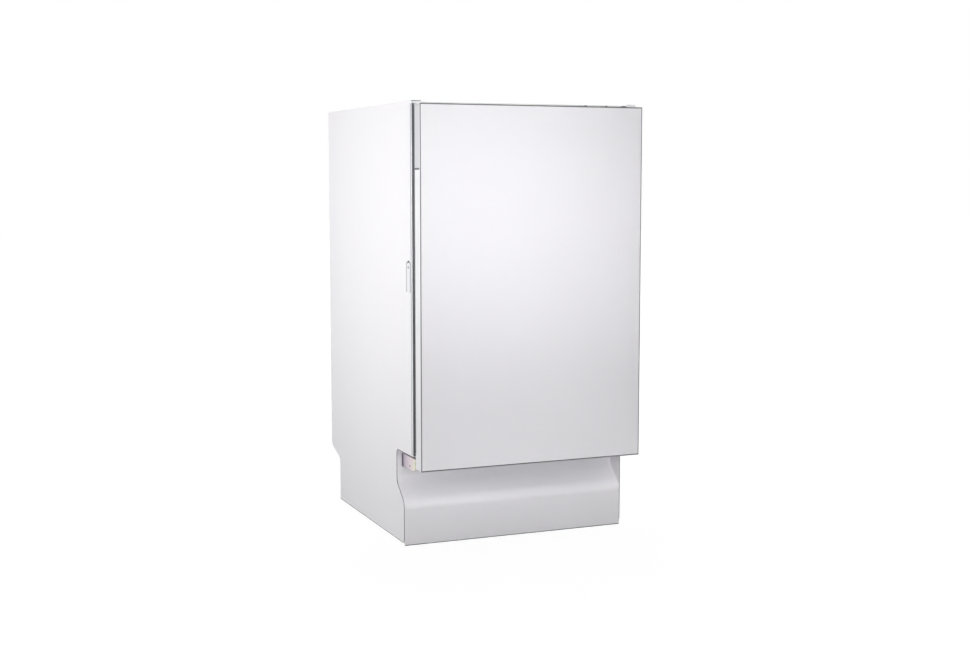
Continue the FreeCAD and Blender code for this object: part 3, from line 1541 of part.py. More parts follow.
def shelf_clip(y):
    """A clip on the left wall of the upper rack that holds the shelf's hinge rod."""
    left = -UPPER_HALF + size.wire_radius - size.weld
    block = box((left, SHELF_X + size.shelf_clip_reach), centred(y, size.shelf_clip_depth),
                around(SHELF_Z, size.shelf_clip_half))
    bore = rod("y", (SHELF_X, y - size.shelf_clip_depth / 2, SHELF_Z),
               size.shelf_rod_radius + size.running_gap, size.shelf_clip_depth)
    return cut(block, bore)


UPPER_POSTS = spread(RACK_FRONT + size.cross_wire_inset, RACK_BACK - size.cross_wire_inset,
                     size.upper_cross_count)


def upper_rack():
    """The upper rack: wires, rail runners, water channel and shelf clips."""
    wires = rack_wires(UPPER_HALF, UPPER_FLOOR, [RAIL_Z, UPPER_FLOOR + size.upper_rack_depth],
                       size.upper_long_count, size.upper_cross_count)
    runners = [runner(side, inset) for side in SIDES.values()
               for inset in (size.runner_first_inset, size.runner_second_inset)]
    clips = [shelf_clip(y) for y in (UPPER_POSTS[1], UPPER_POSTS[-2])]
    return node("upper_rack", group(wires + runners + clips + [upper_manifold()]))


def cup_shelf():
    """The folding cup shelf: a hinge rod and an outer rod joined by wires between the rack's posts."""
    front = UPPER_POSTS[0]
    length = UPPER_POSTS[-1] - front
    rods = [
        rod("y", (x, front, SHELF_Z), size.shelf_rod_radius, length)
        for x in (SHELF_X, SHELF_X + size.shelf_reach)]
    end = size.shelf_rod_radius - size.weld
    for near, far in zip(UPPER_POSTS, UPPER_POSTS[1:]):
        for y in ((near * 3 + far) / 4, (near + far * 3) / 4):
            rods.append(rod("x", (SHELF_X + end, y, SHELF_Z), size.shelf_wire_radius,
                            size.shelf_reach - end * 2))
    return node("cup_shelf", group(rods))


def upper_rail(side):
    """A C-shaped rail, open towards the rack, that runs in two carriers."""
    y = (TUB_FRONT + size.rail_front_gap, TUB_BACK - size.rail_back_gap)
    wall = size.rail_wall
    half = size.rail_height / 2
    bar = box(mirrored(side, RAIL_IN, RAIL_OUT), y, around(RAIL_Z, half))
    hollow = box(mirrored(side, RAIL_IN, RAIL_OUT - wall), y, around(RAIL_Z, half - wall))
    return cut(bar, hollow)


def rail_carrier(side, setback):
    """A carrier on the tub wall that holds a rail from above and below."""
    y = (TUB_FRONT + setback, TUB_FRONT + setback + size.carrier_length)
    inner = RAIL_IN + size.carrier_lip_inset
    room = size.rail_height / 2 + size.slide_gap
    block = box(mirrored(side, inner, TUB_IN), y, around(RAIL_Z, room + size.carrier_lip))
    hollow = box(mirrored(side, inner, RAIL_OUT + size.slide_gap), y, around(RAIL_Z, room))
    return cut(block, hollow)


def feed_pipe():
    """The water channel up the rear wall and along the ceiling to the ceiling nozzle."""
    riser = box(around(Size.of(0), size.feed_half), (FEED_FRONT, TUB_BACK), (FLOOR, CEILING))
    ceiling_low = CEILING - size.ceiling_feed_depth
    run = box(around(Size.of(0), size.ceiling_feed_half), (UPPER_ARM_Y, FEED_FRONT), (ceiling_low, CEILING))
    nozzle = rod("z", (Size.of(0), UPPER_ARM_Y, ceiling_low - size.ceiling_nozzle_height),
                 size.ceiling_nozzle_radius, size.ceiling_nozzle_height + size.ceiling_feed_depth)
    return node("feed_pipe", fuse(riser, run, nozzle))


def build_cabinet():
    """Everything that stays still."""
    for name, side in SIDES.items():
        side_panel(f"side_panel_{name}", side)
        hinge_bracket(f"hinge_bracket_{name}", side)
    back_panel()
    top_front_rail()
    tub_wrapper()
    tub_back()
    tub_floor()
    damping_mat()
    door_gasket()
    plinth_panel()
    base_tray()
    latch_strike()
    feed_pipe()
    spray_arm_hub()
    filter_plate()
    sump()
    circulation_pump()
    drain_pump()
    softener_tank()
    inlet_valve()
    drain_spigot()
    cord_gland()
    sides = SIDES.values()
    node("side_clips", group(side_clip(side) for side in sides))
    node("hinge_pins", group(hinge_pin(side) for side in sides))
    carriers = (size.carrier_first, size.carrier_second)
    node("rail_carriers", group(rail_carrier(side, setback) for side in sides for setback in carriers))


def build_tub_movers():
    """What turns, slides or lifts in the tub and under the base."""
    spray_arm("lower_spray_arm", LOWER_ARM_Y, FLOOR + size.lower_arm_height, size.lower_arm_radius,
              size.hub_radius + size.running_gap)
    filter_cylinder()
    salt_cap()
    float_switch()
    pump_rotor()
    for label, (x, y) in FEET.items():
        foot(label, x, y)


def build_door():
    """The door and what moves on it."""
    door_outer_panel()
    door_inner_liner()
    control_console()
    control_fascia()
    node("door_edges", group(door_edge(side) for side in SIDES.values()))
    for name, side in SIDES.items():
        hinge_arm(f"hinge_arm_{name}", side)
    latch_housing()
    latch_pawl()
    display_window()
    for label, x in BUTTONS.items():
        button(label, x)
    dispenser_body()
    dispenser_lid()
    rinse_cap()


def build_racks():
    """Both racks with their rails, wheels, basket, shelf and upper spray arm."""
    lower_rack()
    folding_tines()
    for label, y in WHEEL_ROWS.items():
        node(label, group(rack_wheel(side, y) for side in SIDES.values()))
    cutlery_basket()
    node("upper_rails", group(upper_rail(side) for side in SIDES.values()))
    upper_rack()
    cup_shelf()
    spray_arm("upper_spray_arm", UPPER_ARM_Y, UPPER_ARM_LOW, size.upper_arm_radius,
              size.upper_hub_radius + size.running_gap)


def check():
    """Stops if any object failed or any sub-part is not a sound shape."""
    for item in doc.Objects:
        if "Invalid" in item.State or "Error" in item.State:
            raise RuntimeError(f"{item.Label} failed: {item.State}")
    for item in nodes:
        if item.Shape.isNull() or not item.Shape.isValid() or not item.Shape.Solids:
            raise RuntimeError(f"{item.Label} is not a sound solid")


def export():
    """Writes one file for each sub-part."""
    os.makedirs("parts", exist_ok=True)
    for item in nodes:
        item.Shape.exportStep(os.path.join("parts", f"{item.Label}.step"))


build_cabinet()
build_tub_movers()
build_door()
build_racks()
doc.recompute()
check()
export()
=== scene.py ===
"""Looks of a slim built-in dishwasher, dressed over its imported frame."""

import json
import logging
import math
from collections.abc import Callable, Iterable
from dataclasses import dataclass
from enum import Enum
from functools import cache
from typing import ClassVar

import bmesh
import bpy
from bmesh.types import BMEdge
from mathutils import Matrix, Vector


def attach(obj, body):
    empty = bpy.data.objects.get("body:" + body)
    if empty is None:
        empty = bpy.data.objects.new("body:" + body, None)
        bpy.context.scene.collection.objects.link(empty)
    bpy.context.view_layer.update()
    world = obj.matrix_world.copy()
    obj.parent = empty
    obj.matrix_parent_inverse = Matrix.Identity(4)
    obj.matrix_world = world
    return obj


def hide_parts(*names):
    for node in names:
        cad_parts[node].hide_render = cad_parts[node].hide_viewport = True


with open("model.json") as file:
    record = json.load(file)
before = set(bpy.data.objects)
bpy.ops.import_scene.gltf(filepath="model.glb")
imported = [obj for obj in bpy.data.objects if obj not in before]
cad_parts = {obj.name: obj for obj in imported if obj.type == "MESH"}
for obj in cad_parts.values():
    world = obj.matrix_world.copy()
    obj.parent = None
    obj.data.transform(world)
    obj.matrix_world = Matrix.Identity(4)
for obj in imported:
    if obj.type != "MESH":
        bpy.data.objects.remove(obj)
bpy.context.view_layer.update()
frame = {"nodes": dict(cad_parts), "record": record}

LOG = logging.getLogger("dishwasher")
SIDES = {"left": -1, "right": 1}
UNIT = (0.0, 1.0)

# The places of a Mix node's sockets when it mixes colours.
MIX_FACTOR, MIX_FIRST, MIX_SECOND, MIX_RESULT = 0, 6, 7, 2

# What all pieces share: lengths in millimetres, angles in degrees, counts and ratios.
MILLIMETRE = 0.001
MERGE = 1e-4
SAME = 1e-3
NODE_MERGE = 0.002
NODE_FLAT_ANGLE = 0.4
SHARP_ANGLE = 40.0
SMOOTH_ANGLE = 32.0
ARC_HANDLE = 0.552
BEND_STEPS = 5
CORNER_SEGMENTS = 8
ROUND_END = 0.05

Point = tuple[float, float, float]
Colour = tuple[float, float, float]
Pair = tuple[float, float]
Profile = Iterable[Pair]
Socket = bpy.types.NodeSocket


def spread(low: float, high: float, count: int) -> list[float]:
    """Evenly spaced values from low to high.

    Args:
        low: the first value.
        high: the last value.
        count: how many values.

    Returns:
        The values in order.
    """
    return [low + (high - low) * index / (count - 1) for index in range(count)]


def loop(x: Pair, y: Pair, z: float) -> list[Point]:
    """The corners of a level rectangle.

    Args:
        x: its two sides.
        y: its front and back.
        z: its height.

    Returns:
        The four corners in order.
    """
    return [(x[0], y[0], z), (x[1], y[0], z), (x[1], y[1], z), (x[0], y[1], z)]


def outwards(sign: int) -> str:
    """The axis that points out of a side: minus for the left and plus for the right."""
    return "x" if sign > 0 else "-x"


def put_in_scene(name: str, data: bpy.types.ID) -> bpy.types.Object:
    """A new object in the scene.

    Args:
        name: its name.
        data: its mesh, lamp or camera.

    Returns:
        The object.
    """
    made = bpy.data.objects.new(name, data)
    bpy.context.scene.collection.objects.link(made)
    return made


class Grain(Enum):
    """The fine surface structures that the finishes use."""

    ENAMEL = "enamel_peel"
    MOULDED = "moulded_grain"
    BRUSHED = "brushed_lines"
    SPANGLE = "zinc_spangle"
    RUBBER = "rubber_bloom"
    PEBBLED = "bitumen_pebble"
    CAST = "cast_skin"


class Nodes:
    """Adds and joins shader nodes in one node tree."""

    def __init__(self, tree: bpy.types.NodeTree) -> None:
        """Works on the given tree."""
        self.tree = tree

    def add(self, kind: str, **values: object) -> bpy.types.Node:
        """Adds a node and sets its properties.

        Args:
            kind: the node type.
            values: properties of the node by name.

        Returns:
            The new node.
        """
        node = self.tree.nodes.new(kind)
        for name, value in values.items():
            setattr(node, name, value)
        return node

    def feed(self, target: Socket, value: Socket | float | Colour) -> None:
        """Links a socket to an input, or sets a plain number or colour on it."""
        if isinstance(value, (int, float)):
            target.default_value = value
        elif isinstance(value, tuple):
            target.default_value = (*value, 1.0)
        else:
            self.tree.links.new(value, target)

    def maths(self, operation: str, first: Socket | float, second: Socket | float,
              clamp: bool = False) -> Socket:
        """Adds a Math node.

        Args:
            operation: the node's operation.
            first: a socket or a number.
            second: a socket or a number.
            clamp: whether the result stays between zero and one.

        Returns:
            The result socket.
        """
        node = self.add("ShaderNodeMath", operation=operation, use_clamp=clamp)
        self.feed(node.inputs[0], first)
        self.feed(node.inputs[1], second)
        return node.outputs[0]

    def total(self, *shares: tuple[Socket, float]) -> Socket:
        """Adds up values.

        Args:
            shares: each value's socket and how much of it counts.

        Returns:
            The socket of the sum.
        """
        first, *others = [self.maths("MULTIPLY", value, share) for value, share in shares]
        for other in others:
            first = self.maths("ADD", first, other)
        return first

    def axis(self, place: Socket, name: str) -> Socket:
        """One coordinate of a position, by its capital letter."""
        split = self.add("ShaderNodeSeparateXYZ")
        self.feed(split.inputs[0], place)
        return split.outputs[name]

    def span(self, value: Socket, start: Pair, end: Pair) -> Socket:
        """Maps a value from one range to another.

        Args:
            value: the socket that is mapped.
            start: the range that it comes from.
            end: the range that it goes to.

        Returns:
            The mapped socket.
        """
        node = self.add("ShaderNodeMapRange")
        self.feed(node.inputs["Value"], value)
        for name, number in zip(("From Min", "From Max", "To Min", "To Max"), (*start, *end)):
            node.inputs[name].default_value = number
        return node.outputs[0]

    def blend(self, factor: Socket | float, first: Socket | Colour, second: Socket | Colour,
              kind: str = "MIX") -> Socket:
        """Mixes two colours.

        Args:
            factor: how much of the second counts.
            first: a socket or a colour.
            second: a socket or a colour.
            kind: the node's way of blending.

        Returns:
            The mixed colour socket.
        """
        node = self.add("ShaderNodeMix", data_type="RGBA", blend_type=kind)
        self.feed(node.inputs[MIX_FACTOR], factor)
        self.feed(node.inputs[MIX_FIRST], first)
        self.feed(node.inputs[MIX_SECOND], second)
        return node.outputs[MIX_RESULT]

    def group(self, tree: bpy.types.NodeTree, place: Socket, **values: float) -> bpy.types.Node:
        """Places a shared node group and sets its inputs.

        Args:
            tree: the group's tree.
            place: the position socket.
            values: numbers for its other inputs by name.

        Returns:
            The group node.
        """
        node = self.add("ShaderNodeGroup", node_tree=tree)
        self.feed(node.inputs["Place"], place)
        for name, value in values.items():
            node.inputs[name].default_value = value
        return node


class Group(Nodes):
    """One shared shader node group: a place and a number go in, and masks come out."""

    def __init__(self, name: str, number: str, *outputs: str) -> None:
        """Opens the group.

        Args:
            name: the group's name.
            number: the name of its number input.
            outputs: the names of its outputs.
        """
        super().__init__(bpy.data.node_groups.new(name, "ShaderNodeTree"))
        face = self.tree.interface
        face.new_socket("Place", in_out="INPUT", socket_type="NodeSocketVector")
        face.new_socket(number, in_out="INPUT", socket_type="NodeSocketFloat")
        for output in outputs:
            face.new_socket(output, in_out="OUTPUT", socket_type="NodeSocketFloat")
        start = self.add("NodeGroupInput")
        self.place = start.outputs["Place"]
        self.number = start.outputs[number]
        self.end = self.add("NodeGroupOutput")

    def noise(self, scale: Socket | float, detail: float,
              stretch: Point = (1.0, 1.0, 1.0)) -> Socket:
        """Adds a noise at the group's place, drawn out along an axis if asked.

        Args:
            scale: features per metre, as a socket or a number.
            detail: the noise's octaves.
            stretch: a factor on each axis of the position.

        Returns:
            The noise value socket.
        """
        mapping = self.add("ShaderNodeMapping")
        mapping.inputs["Scale"].default_value = stretch
        self.feed(mapping.inputs["Vector"], self.place)
        texture = self.add("ShaderNodeTexNoise")
        texture.inputs["Detail"].default_value = detail
        self.feed(texture.inputs["Vector"], mapping.outputs[0])
        self.feed(texture.inputs["Scale"], scale)
        return texture.outputs["Fac"]

    def put(self, output: str, value: Socket) -> None:
        """Sends a value out of the group."""
        self.feed(self.end.inputs[output], value)


class Effects:
    """The shared node groups, each drawn on its first use."""

    @staticmethod
    @cache
    def grain(grain: Grain) -> bpy.types.NodeTree:
        """A surface grain: a fine height, a broad shade and a gloss that drifts.

        Args:
            grain: which grain.

        Returns:
            The group's tree.
        """
        group = Group(grain.value, "Fineness", "Shade", "Gloss", "Height")
        broad = group.noise(scale=5.0, detail=3.0)
        patches = group.noise(scale=38.0, detail=4.0)
        if grain is Grain.BRUSHED:
            fine = group.noise(group.number, detail=2.0, stretch=(0.02, 1.0, 1.0))
        elif grain in (Grain.SPANGLE, Grain.PEBBLED):
            cells = group.add("ShaderNodeTexVoronoi")
            group.feed(cells.inputs["Vector"], group.place)
            group.feed(cells.inputs["Scale"], group.number)
            fine = cells.outputs["Distance"]
            if grain is Grain.SPANGLE:
                split = group.add("ShaderNodeSeparateColor")
                group.feed(split.inputs[0], cells.outputs["Color"])
                patches = split.outputs[0]
        else:
            detail = {Grain.ENAMEL: 1.0, Grain.CAST: 6.0}.get(grain, 3.0)
            fine = group.noise(group.number, detail)
        group.put("Shade", group.total((broad, 0.5), (patches, 0.4), (fine, 0.1)))
        group.put("Gloss", group.total((patches, 0.6), (fine, 0.4)))
        group.put("Height", fine)
        return group.tree

    @staticmethod
    @cache
    def dust() -> bpy.types.NodeTree:
        """The thin dust that settles low on the machine: clouds that fade with height.

        Returns:
            The group's tree.
        """
        fade = 2.2
        group = Group("settled_dust", "Reach", "Mask")
        height = group.maths("DIVIDE", group.axis(group.place, "Z"), group.number)
        low = group.maths("SUBTRACT", 1.0, height, clamp=True)
        clouds = group.noise(scale=22.0, detail=5.0)
        group.put("Mask", group.maths("MULTIPLY", group.maths("POWER", low, fade), clouds))
        return group.tree

    @staticmethod
    @cache
    def scuffs() -> bpy.types.NodeTree:
        """The hair scuffs that handling leaves: fine crossing lines in a few patches.

        Returns:
            The group's tree.
        """
        group = Group("hair_scuffs", "Amount", "Mask")
        along = group.noise(scale=260.0, detail=2.0, stretch=(1.0, 0.06, 0.05))
        across = group.noise(scale=230.0, detail=2.0, stretch=(0.05, 0.07, 1.0))
        lines = group.span(group.maths("MAXIMUM", along, across), (0.66, 0.74), UNIT)
        patches = group.span(group.noise(scale=9.0, detail=3.0), (0.5, 0.66), UNIT)
        mask = group.maths("MULTIPLY", lines, patches)
        group.put("Mask", group.maths("MULTIPLY", mask, group.number))
        return group.tree

    @staticmethod
    @cache
    def film() -> bpy.types.NodeTree:
        """The film on washed surfaces: pale spots and short runs of dried water.

        Returns:
            The group's tree.
        """
        group = Group("water_film", "Amount", "Mask")
        spots = group.span(group.noise(scale=120.0, detail=4.0), (0.56, 0.72), UNIT)
        streaks = group.noise(scale=60.0, detail=3.0, stretch=(1.0, 1.0, 0.12))
        runs = group.span(streaks, (0.55, 0.75), UNIT)
        mask = group.maths("MAXIMUM", spots, runs)
        group.put("Mask", group.maths("MULTIPLY", mask, group.number))
        return group.tree


@dataclass(frozen=True)
class Finish:
    """One finish of the machine: its colour, gloss, grain and traces of use."""

    DUST_COLOUR: ClassVar[Colour] = (0.42, 0.40, 0.38)
    DUST_REACH: ClassVar[float] = 0.25
    FILM_COLOUR: ClassVar[Colour] = (0.80, 0.81, 0.82)
    FILM_HAZE: ClassVar[float] = 0.5
    SCUFF_TINT: ClassVar[float] = 0.3
    GLOSSIEST: ClassVar[float] = 0.02
    BUMP_DISTANCE: ClassVar[float] = 0.0006
    TINT_REACH: ClassVar[Pair] = (-0.245, -0.10)
    TINT_WANDER: ClassVar[float] = 0.5

    name: str
    colour: Colour
    roughness: float
    grain: Grain
    fineness: float
    bump: float = 0.05
    metallic: float = 0.0
    drift: float = 0.03
    gloss_drift: float = 0.06
    coat: float = 0.0
    dust: float = 0.0
    scuffs: float = 0.0
    film: float = 0.0
    tints: tuple[Colour, ...] = ()

    @cache
    def material(self) -> bpy.types.Material:
        """The finish as a material, made once for all its pieces.

        Returns:
            The material with its node tree.
        """
        material = bpy.data.materials.new(self.name)
        material.use_nodes = True
        nodes = Nodes(material.node_tree)
        shader = material.node_tree.nodes["Principled BSDF"]
        shader.inputs["Metallic"].default_value = self.metallic
        shader.inputs["Coat Weight"].default_value = self.coat
        place = nodes.add("ShaderNodeTexCoord").outputs["Object"]
        grain = nodes.group(Effects.grain(self.grain), place, Fineness=self.fineness)
        colour = self._tone(nodes, place, grain.outputs["Shade"])
        limits = (max(self.roughness - self.gloss_drift, self.GLOSSIEST),
                  min(self.roughness + self.gloss_drift, 1.0))
        gloss = nodes.span(grain.outputs["Gloss"], UNIT, limits)
        if self.dust:
            mask = nodes.group(Effects.dust(), place, Reach=self.DUST_REACH).outputs["Mask"]
            cover = nodes.maths("MULTIPLY", mask, self.dust)
            colour = nodes.blend(cover, colour, self.DUST_COLOUR)
        if self.film:
            mask = nodes.group(Effects.film(), place, Amount=self.film).outputs["Mask"]
            colour = nodes.blend(mask, colour, self.FILM_COLOUR)
            haze = nodes.maths("MULTIPLY", mask, self.FILM_HAZE)
            gloss = nodes.maths("ADD", gloss, haze, clamp=True)
        if self.scuffs:
            mask = nodes.group(Effects.scuffs(), place, Amount=self.scuffs).outputs["Mask"]
            gloss = nodes.maths("ADD", gloss, mask, clamp=True)
            cover = nodes.maths("MULTIPLY", mask, self.SCUFF_TINT)
            colour = nodes.blend(cover, colour, self.DUST_COLOUR)
        nodes.feed(shader.inputs["Base Color"], colour)
        nodes.feed(shader.inputs["Roughness"], gloss)
        bump = nodes.add("ShaderNodeBump")
        bump.inputs["Strength"].default_value = self.bump
        bump.inputs["Distance"].default_value = self.BUMP_DISTANCE
        nodes.feed(bump.inputs["Height"], grain.outputs["Height"])
        nodes.feed(shader.inputs["Normal"], bump.outputs[0])
        return material

    def _tone(self, nodes: Nodes, place: Socket, shade: Socket) -> Socket:
        """The colour with its drift, times its tints from the machine's front backwards.

        Args:
            nodes: the material's nodes.
            place: the position socket.
            shade: the grain's shade.

        Returns:
            The colour socket.
        """
        darker = tuple(channel * (1 - self.drift) for channel in self.colour)
        lighter = tuple(min(channel * (1 + self.drift), 1.0) for channel in self.colour)
        tone = nodes.blend(shade, darker, lighter)
        if not self.tints:
            return tone
        along = nodes.span(nodes.axis(place, "Y"), self.TINT_REACH, UNIT)
        wander = nodes.maths("MULTIPLY", nodes.maths("SUBTRACT", shade, 0.5), self.TINT_WANDER)
        ramp = nodes.add("ShaderNodeValToRGB")
        for stop in spread(*UNIT, len(self.tints))[1:-1]:
            ramp.color_ramp.elements.new(stop)
        for stop, tint in zip(ramp.color_ramp.elements, self.tints):
            stop.color = (*tint, 1.0)
        nodes.feed(ramp.inputs[0], nodes.maths("ADD", along, wander, clamp=True))
        return nodes.blend(1.0, tone, ramp.outputs[0], kind="MULTIPLY")


FINISHES = {finish.name: finish for finish in (
    Finish("white_paint", (0.868, 0.855, 0.886), 0.38, Grain.ENAMEL, 900,
           bump=0.03, drift=0.008, dust=0.06, scuffs=0.02),
    Finish("white_plastic", (0.84, 0.84, 0.86), 0.34, Grain.MOULDED, 1800,
           drift=0.012, scuffs=0.03),
    Finish("console_grey", (0.64, 0.64, 0.67), 0.42, Grain.MOULDED, 2200,
           bump=0.12, drift=0.02, scuffs=0.04),
    Finish("bright_steel", (0.62, 0.62, 0.63), 0.30, Grain.BRUSHED, 2400,
           bump=0.02, metallic=1.0, gloss_drift=0.03, film=0.04, scuffs=0.04),
    Finish("zinc_plate", (0.86, 0.86, 0.86), 0.42, Grain.SPANGLE, 160,
           bump=0.03, metallic=0.6, drift=0.06,
           tints=((0.90, 0.88, 0.70), (0.90, 0.80, 0.80), (0.68, 0.61, 0.72), (0.80, 0.81, 0.82))),
    Finish("base_plastic", (0.30, 0.31, 0.33), 0.55, Grain.MOULDED, 1500,
           bump=0.15, drift=0.04, dust=0.3, scuffs=0.05),
    Finish("part_grey", (0.42, 0.43, 0.46), 0.45, Grain.MOULDED, 2000, bump=0.12, film=0.06),
    Finish("wire_coat", (0.55, 0.56, 0.59), 0.38, Grain.ENAMEL, 1600, bump=0.08, film=0.06),
    Finish("dark_plastic", (0.045, 0.045, 0.05), 0.50, Grain.MOULDED, 1800,
           bump=0.15, drift=0.10, dust=0.2, scuffs=0.06),
    Finish("button_plastic", (0.10, 0.10, 0.11), 0.36, Grain.MOULDED, 2400,
           bump=0.08, drift=0.05, scuffs=0.05),
    Finish("display_pane", (0.015, 0.016, 0.02), 0.10, Grain.ENAMEL, 300,
           bump=0.01, drift=0.10, coat=0.6, scuffs=0.04),
    Finish("rubber_seal", (0.10, 0.10, 0.105), 0.72, Grain.RUBBER, 1400,
           bump=0.18, drift=0.10, film=0.05),
    Finish("bitumen_mat", (0.055, 0.053, 0.05), 0.80, Grain.PEBBLED, 420,
           bump=0.5, drift=0.18, dust=0.1),
    Finish("pump_metal", (0.45, 0.45, 0.46), 0.48, Grain.CAST, 700,
           bump=0.3, metallic=1.0, drift=0.10),
    Finish("valve_white", (0.78, 0.78, 0.77), 0.42, Grain.MOULDED, 1800, bump=0.12, dust=0.2),
    Finish("cap_blue_grey", (0.20, 0.24, 0.30), 0.42, Grain.MOULDED, 2000,
           bump=0.12, drift=0.05, film=0.06),
    # A dark grey for real joints and rivets, and for the painted shade lines and gap shadows on the
    # case and door.
    Finish("seam_and_shade_grey", (0.12, 0.12, 0.13), 0.6, Grain.MOULDED, 1800, drift=0.06),
    Finish("filter_mesh", (0.40, 0.40, 0.42), 0.40, Grain.PEBBLED, 900,
           bump=0.9, metallic=0.9, drift=0.15, film=0.10),
)}
SLOT_OF = {entry["node"]: entry["material_slot"] for entry in frame["record"]["subparts"]}
BODY_OF = {node: body for body, nodes in frame["record"]["behaviour"]["bodies"].items()
           for node in nodes}
TURNS = {
    "x": Matrix.Rotation(math.pi / 2, 4, "Y"), "-x": Matrix.Rotation(-math.pi / 2, 4, "Y"),
    "y": Matrix.Rotation(-math.pi / 2, 4, "X"),
    "z": Matrix.Identity(4), "-z": Matrix.Rotation(math.pi, 4, "X"),
}


class Piece:
    """A new mesh piece while it is being shaped, in millimetres."""

    def __init__(self, name: str) -> None:
        """Starts an empty piece of that name."""
        self.name = name
        self.bm = bmesh.new()

    def take(self, mesh: bpy.types.Mesh) -> None:
        """Adds a mesh to the piece and frees it."""
        self.bm.from_mesh(mesh)
        bpy.data.meshes.remove(mesh)

    def join(self, part: "Piece", *places: Matrix) -> None:
        """Adds a smaller shape once for each place and frees it.

        Args:
            part: the shape to add.
            places: a transform for each copy, or none for the shape as it stands.
        """
        for place in places or (Matrix.Identity(4),):
            mesh = bpy.data.meshes.new("shape")
            part.bm.to_mesh(mesh)
            mesh.transform(place)
            self.take(mesh)
        part.bm.free()

    def clean(self) -> None:
        """Merges doubled points and turns the faces outwards."""
        bmesh.ops.remove_doubles(self.bm, verts=self.bm.verts, dist=MERGE)
        bmesh.ops.recalc_face_normals(self.bm, faces=self.bm.faces)

    def box(self, low: Point, high: Point, soft: float = 0.0, segments: int = 2,
            axis: str = "", radius: float = 0.0) -> None:
        """Adds a box between two corners, with rounded edges if asked.

        Args:
            low: one corner.
            high: the opposite corner.
            soft: the radius of its edges.
            segments: how many faces round an edge.
            axis: the direction of the four edges with a radius of their own.
            radius: that radius.
        """
        part = Piece(self.name)
        size = [abs(b - a) for a, b in zip(low, high)]
        middle = [(a + b) / 2 for a, b in zip(low, high)]
        matrix = Matrix.Translation(middle) @ Matrix.Diagonal((*size, 1.0))
        bmesh.ops.create_cube(part.bm, size=1.0, matrix=matrix)
        if axis:
            index = "xyz".index(axis)
            along = part.edges(lambda a, b: abs(a[index] - b[index]) > SAME)
            part.round(along, radius, CORNER_SEGMENTS)
        if soft:
            part.round(part.sharp(), soft, segments)
        self.join(part)

    def turned(self, profile: Profile, centre: Point, axis: str = "z", steps: int = 32,
               ring: bool = False) -> None:
        """Adds a turned shape.

        Args:
            profile: radius and height of each point in order.
            centre: where the profile's height is zero.
            axis: the direction of its height.
            steps: faces round the axis.
            ring: whether the profile runs back to its start.
        """
        part = Piece(self.name)
        verts = [part.bm.verts.new((radius, 0.0, height)) for radius, height in profile]
        ends = verts[1:] + (verts[:1] if ring else [])
        edges = [part.bm.edges.new(pair) for pair in zip(verts, ends)]
        bmesh.ops.spin(part.bm, geom=verts + edges, cent=(0, 0, 0), axis=(0, 0, 1),
                       angle=math.tau, steps=steps, use_merge=True)
        part.clean()
        self.join(part, Matrix.Translation(centre) @ TURNS[axis])

    def wires(self, paths: Iterable[list[Point]], radius: float, bend: float = 0.0,
              closed: bool = False, sides: int = 2) -> None:
        """Adds round wires that follow straight runs with rounded bends.

        Args:
            paths: the corner points of each wire.
            radius: the wire's radius.
            bend: the distance from a corner at which its bend starts.
            closed: whether each wire runs back to its start.
            sides: the roundness of the wire.
        """
        curve = bpy.data.curves.new("wire_path", "CURVE")
        curve.dimensions = "3D"
        curve.bevel_depth = radius
        curve.bevel_resolution = sides
        curve.use_fill_caps = True
        curve.resolution_u = BEND_STEPS
        for path in paths:
            self._spline(curve, [Vector(point) for point in path], bend, closed)
        holder = bpy.data.objects.new("wire_path", curve)
        part = Piece(self.name)
        part.take(bpy.data.meshes.new_from_object(holder))
        part.clean()
        self.join(part)
        bpy.data.objects.remove(holder)
        bpy.data.curves.remove(curve)

    @staticmethod
    def _spline(curve: bpy.types.Curve, points: list[Vector], bend: float, closed: bool) -> None:
        """Adds one wire's line to a curve, each bend a pair of points.

        Args:
            curve: the curve to add to.
            points: the corners.
            bend: the distance from a corner at which its bend starts.
            closed: whether the line closes.
        """
        stops: list[tuple[Vector, Vector, Vector]] = []
        last = len(points) - 1
        for index, point in enumerate(points):
            if not bend or (not closed and index in (0, last)):
                stops.append((point, point, point))
                continue
            before, after = points[index - 1], points[(index + 1) % len(points)]
            start = point + (before - point).normalized() * bend
            end = point + (after - point).normalized() * bend
            stops.append((start, start, start.lerp(point, ARC_HANDLE)))
            stops.append((end, end.lerp(point, ARC_HANDLE), end))
        spline = curve.splines.new("BEZIER")
        spline.bezier_points.add(len(stops) - 1)
        spline.use_cyclic_u = closed
        for stop, (place, left, right) in zip(spline.bezier_points, stops):
            stop.handle_left_type = stop.handle_right_type = "FREE"
            stop.co, stop.handle_left, stop.handle_right = place, left, right

    def copy_node(self, node: str) -> None:
        """Adds a clean copy of a frame node: merged, with its flat faces whole."""
        mesh = frame["nodes"][node].data.copy()
        mesh.transform(Matrix.Scale(1 / MILLIMETRE, 4))
        self.take(mesh)
        bmesh.ops.remove_doubles(self.bm, verts=self.bm.verts, dist=NODE_MERGE)
        bmesh.ops.dissolve_limit(self.bm, angle_limit=math.radians(NODE_FLAT_ANGLE),
                                 verts=self.bm.verts, edges=self.bm.edges,
                                 use_dissolve_boundaries=False)

    def edges(self, test: Callable[[Vector, Vector], bool]) -> list[BMEdge]:
        """The edges whose two ends pass a test.

        Args:
            test: takes both end points.

        Returns:
            The matching edges.
        """
        return [edge for edge in self.bm.edges if test(edge.verts[0].co, edge.verts[1].co)]

    def sharp(self) -> list[BMEdge]:
        """The edges where two faces meet at a sharp angle."""
        limit = math.radians(SHARP_ANGLE)
        return [edge for edge in self.bm.edges
                if len(edge.link_faces) == 2 and edge.calc_face_angle(0) > limit]

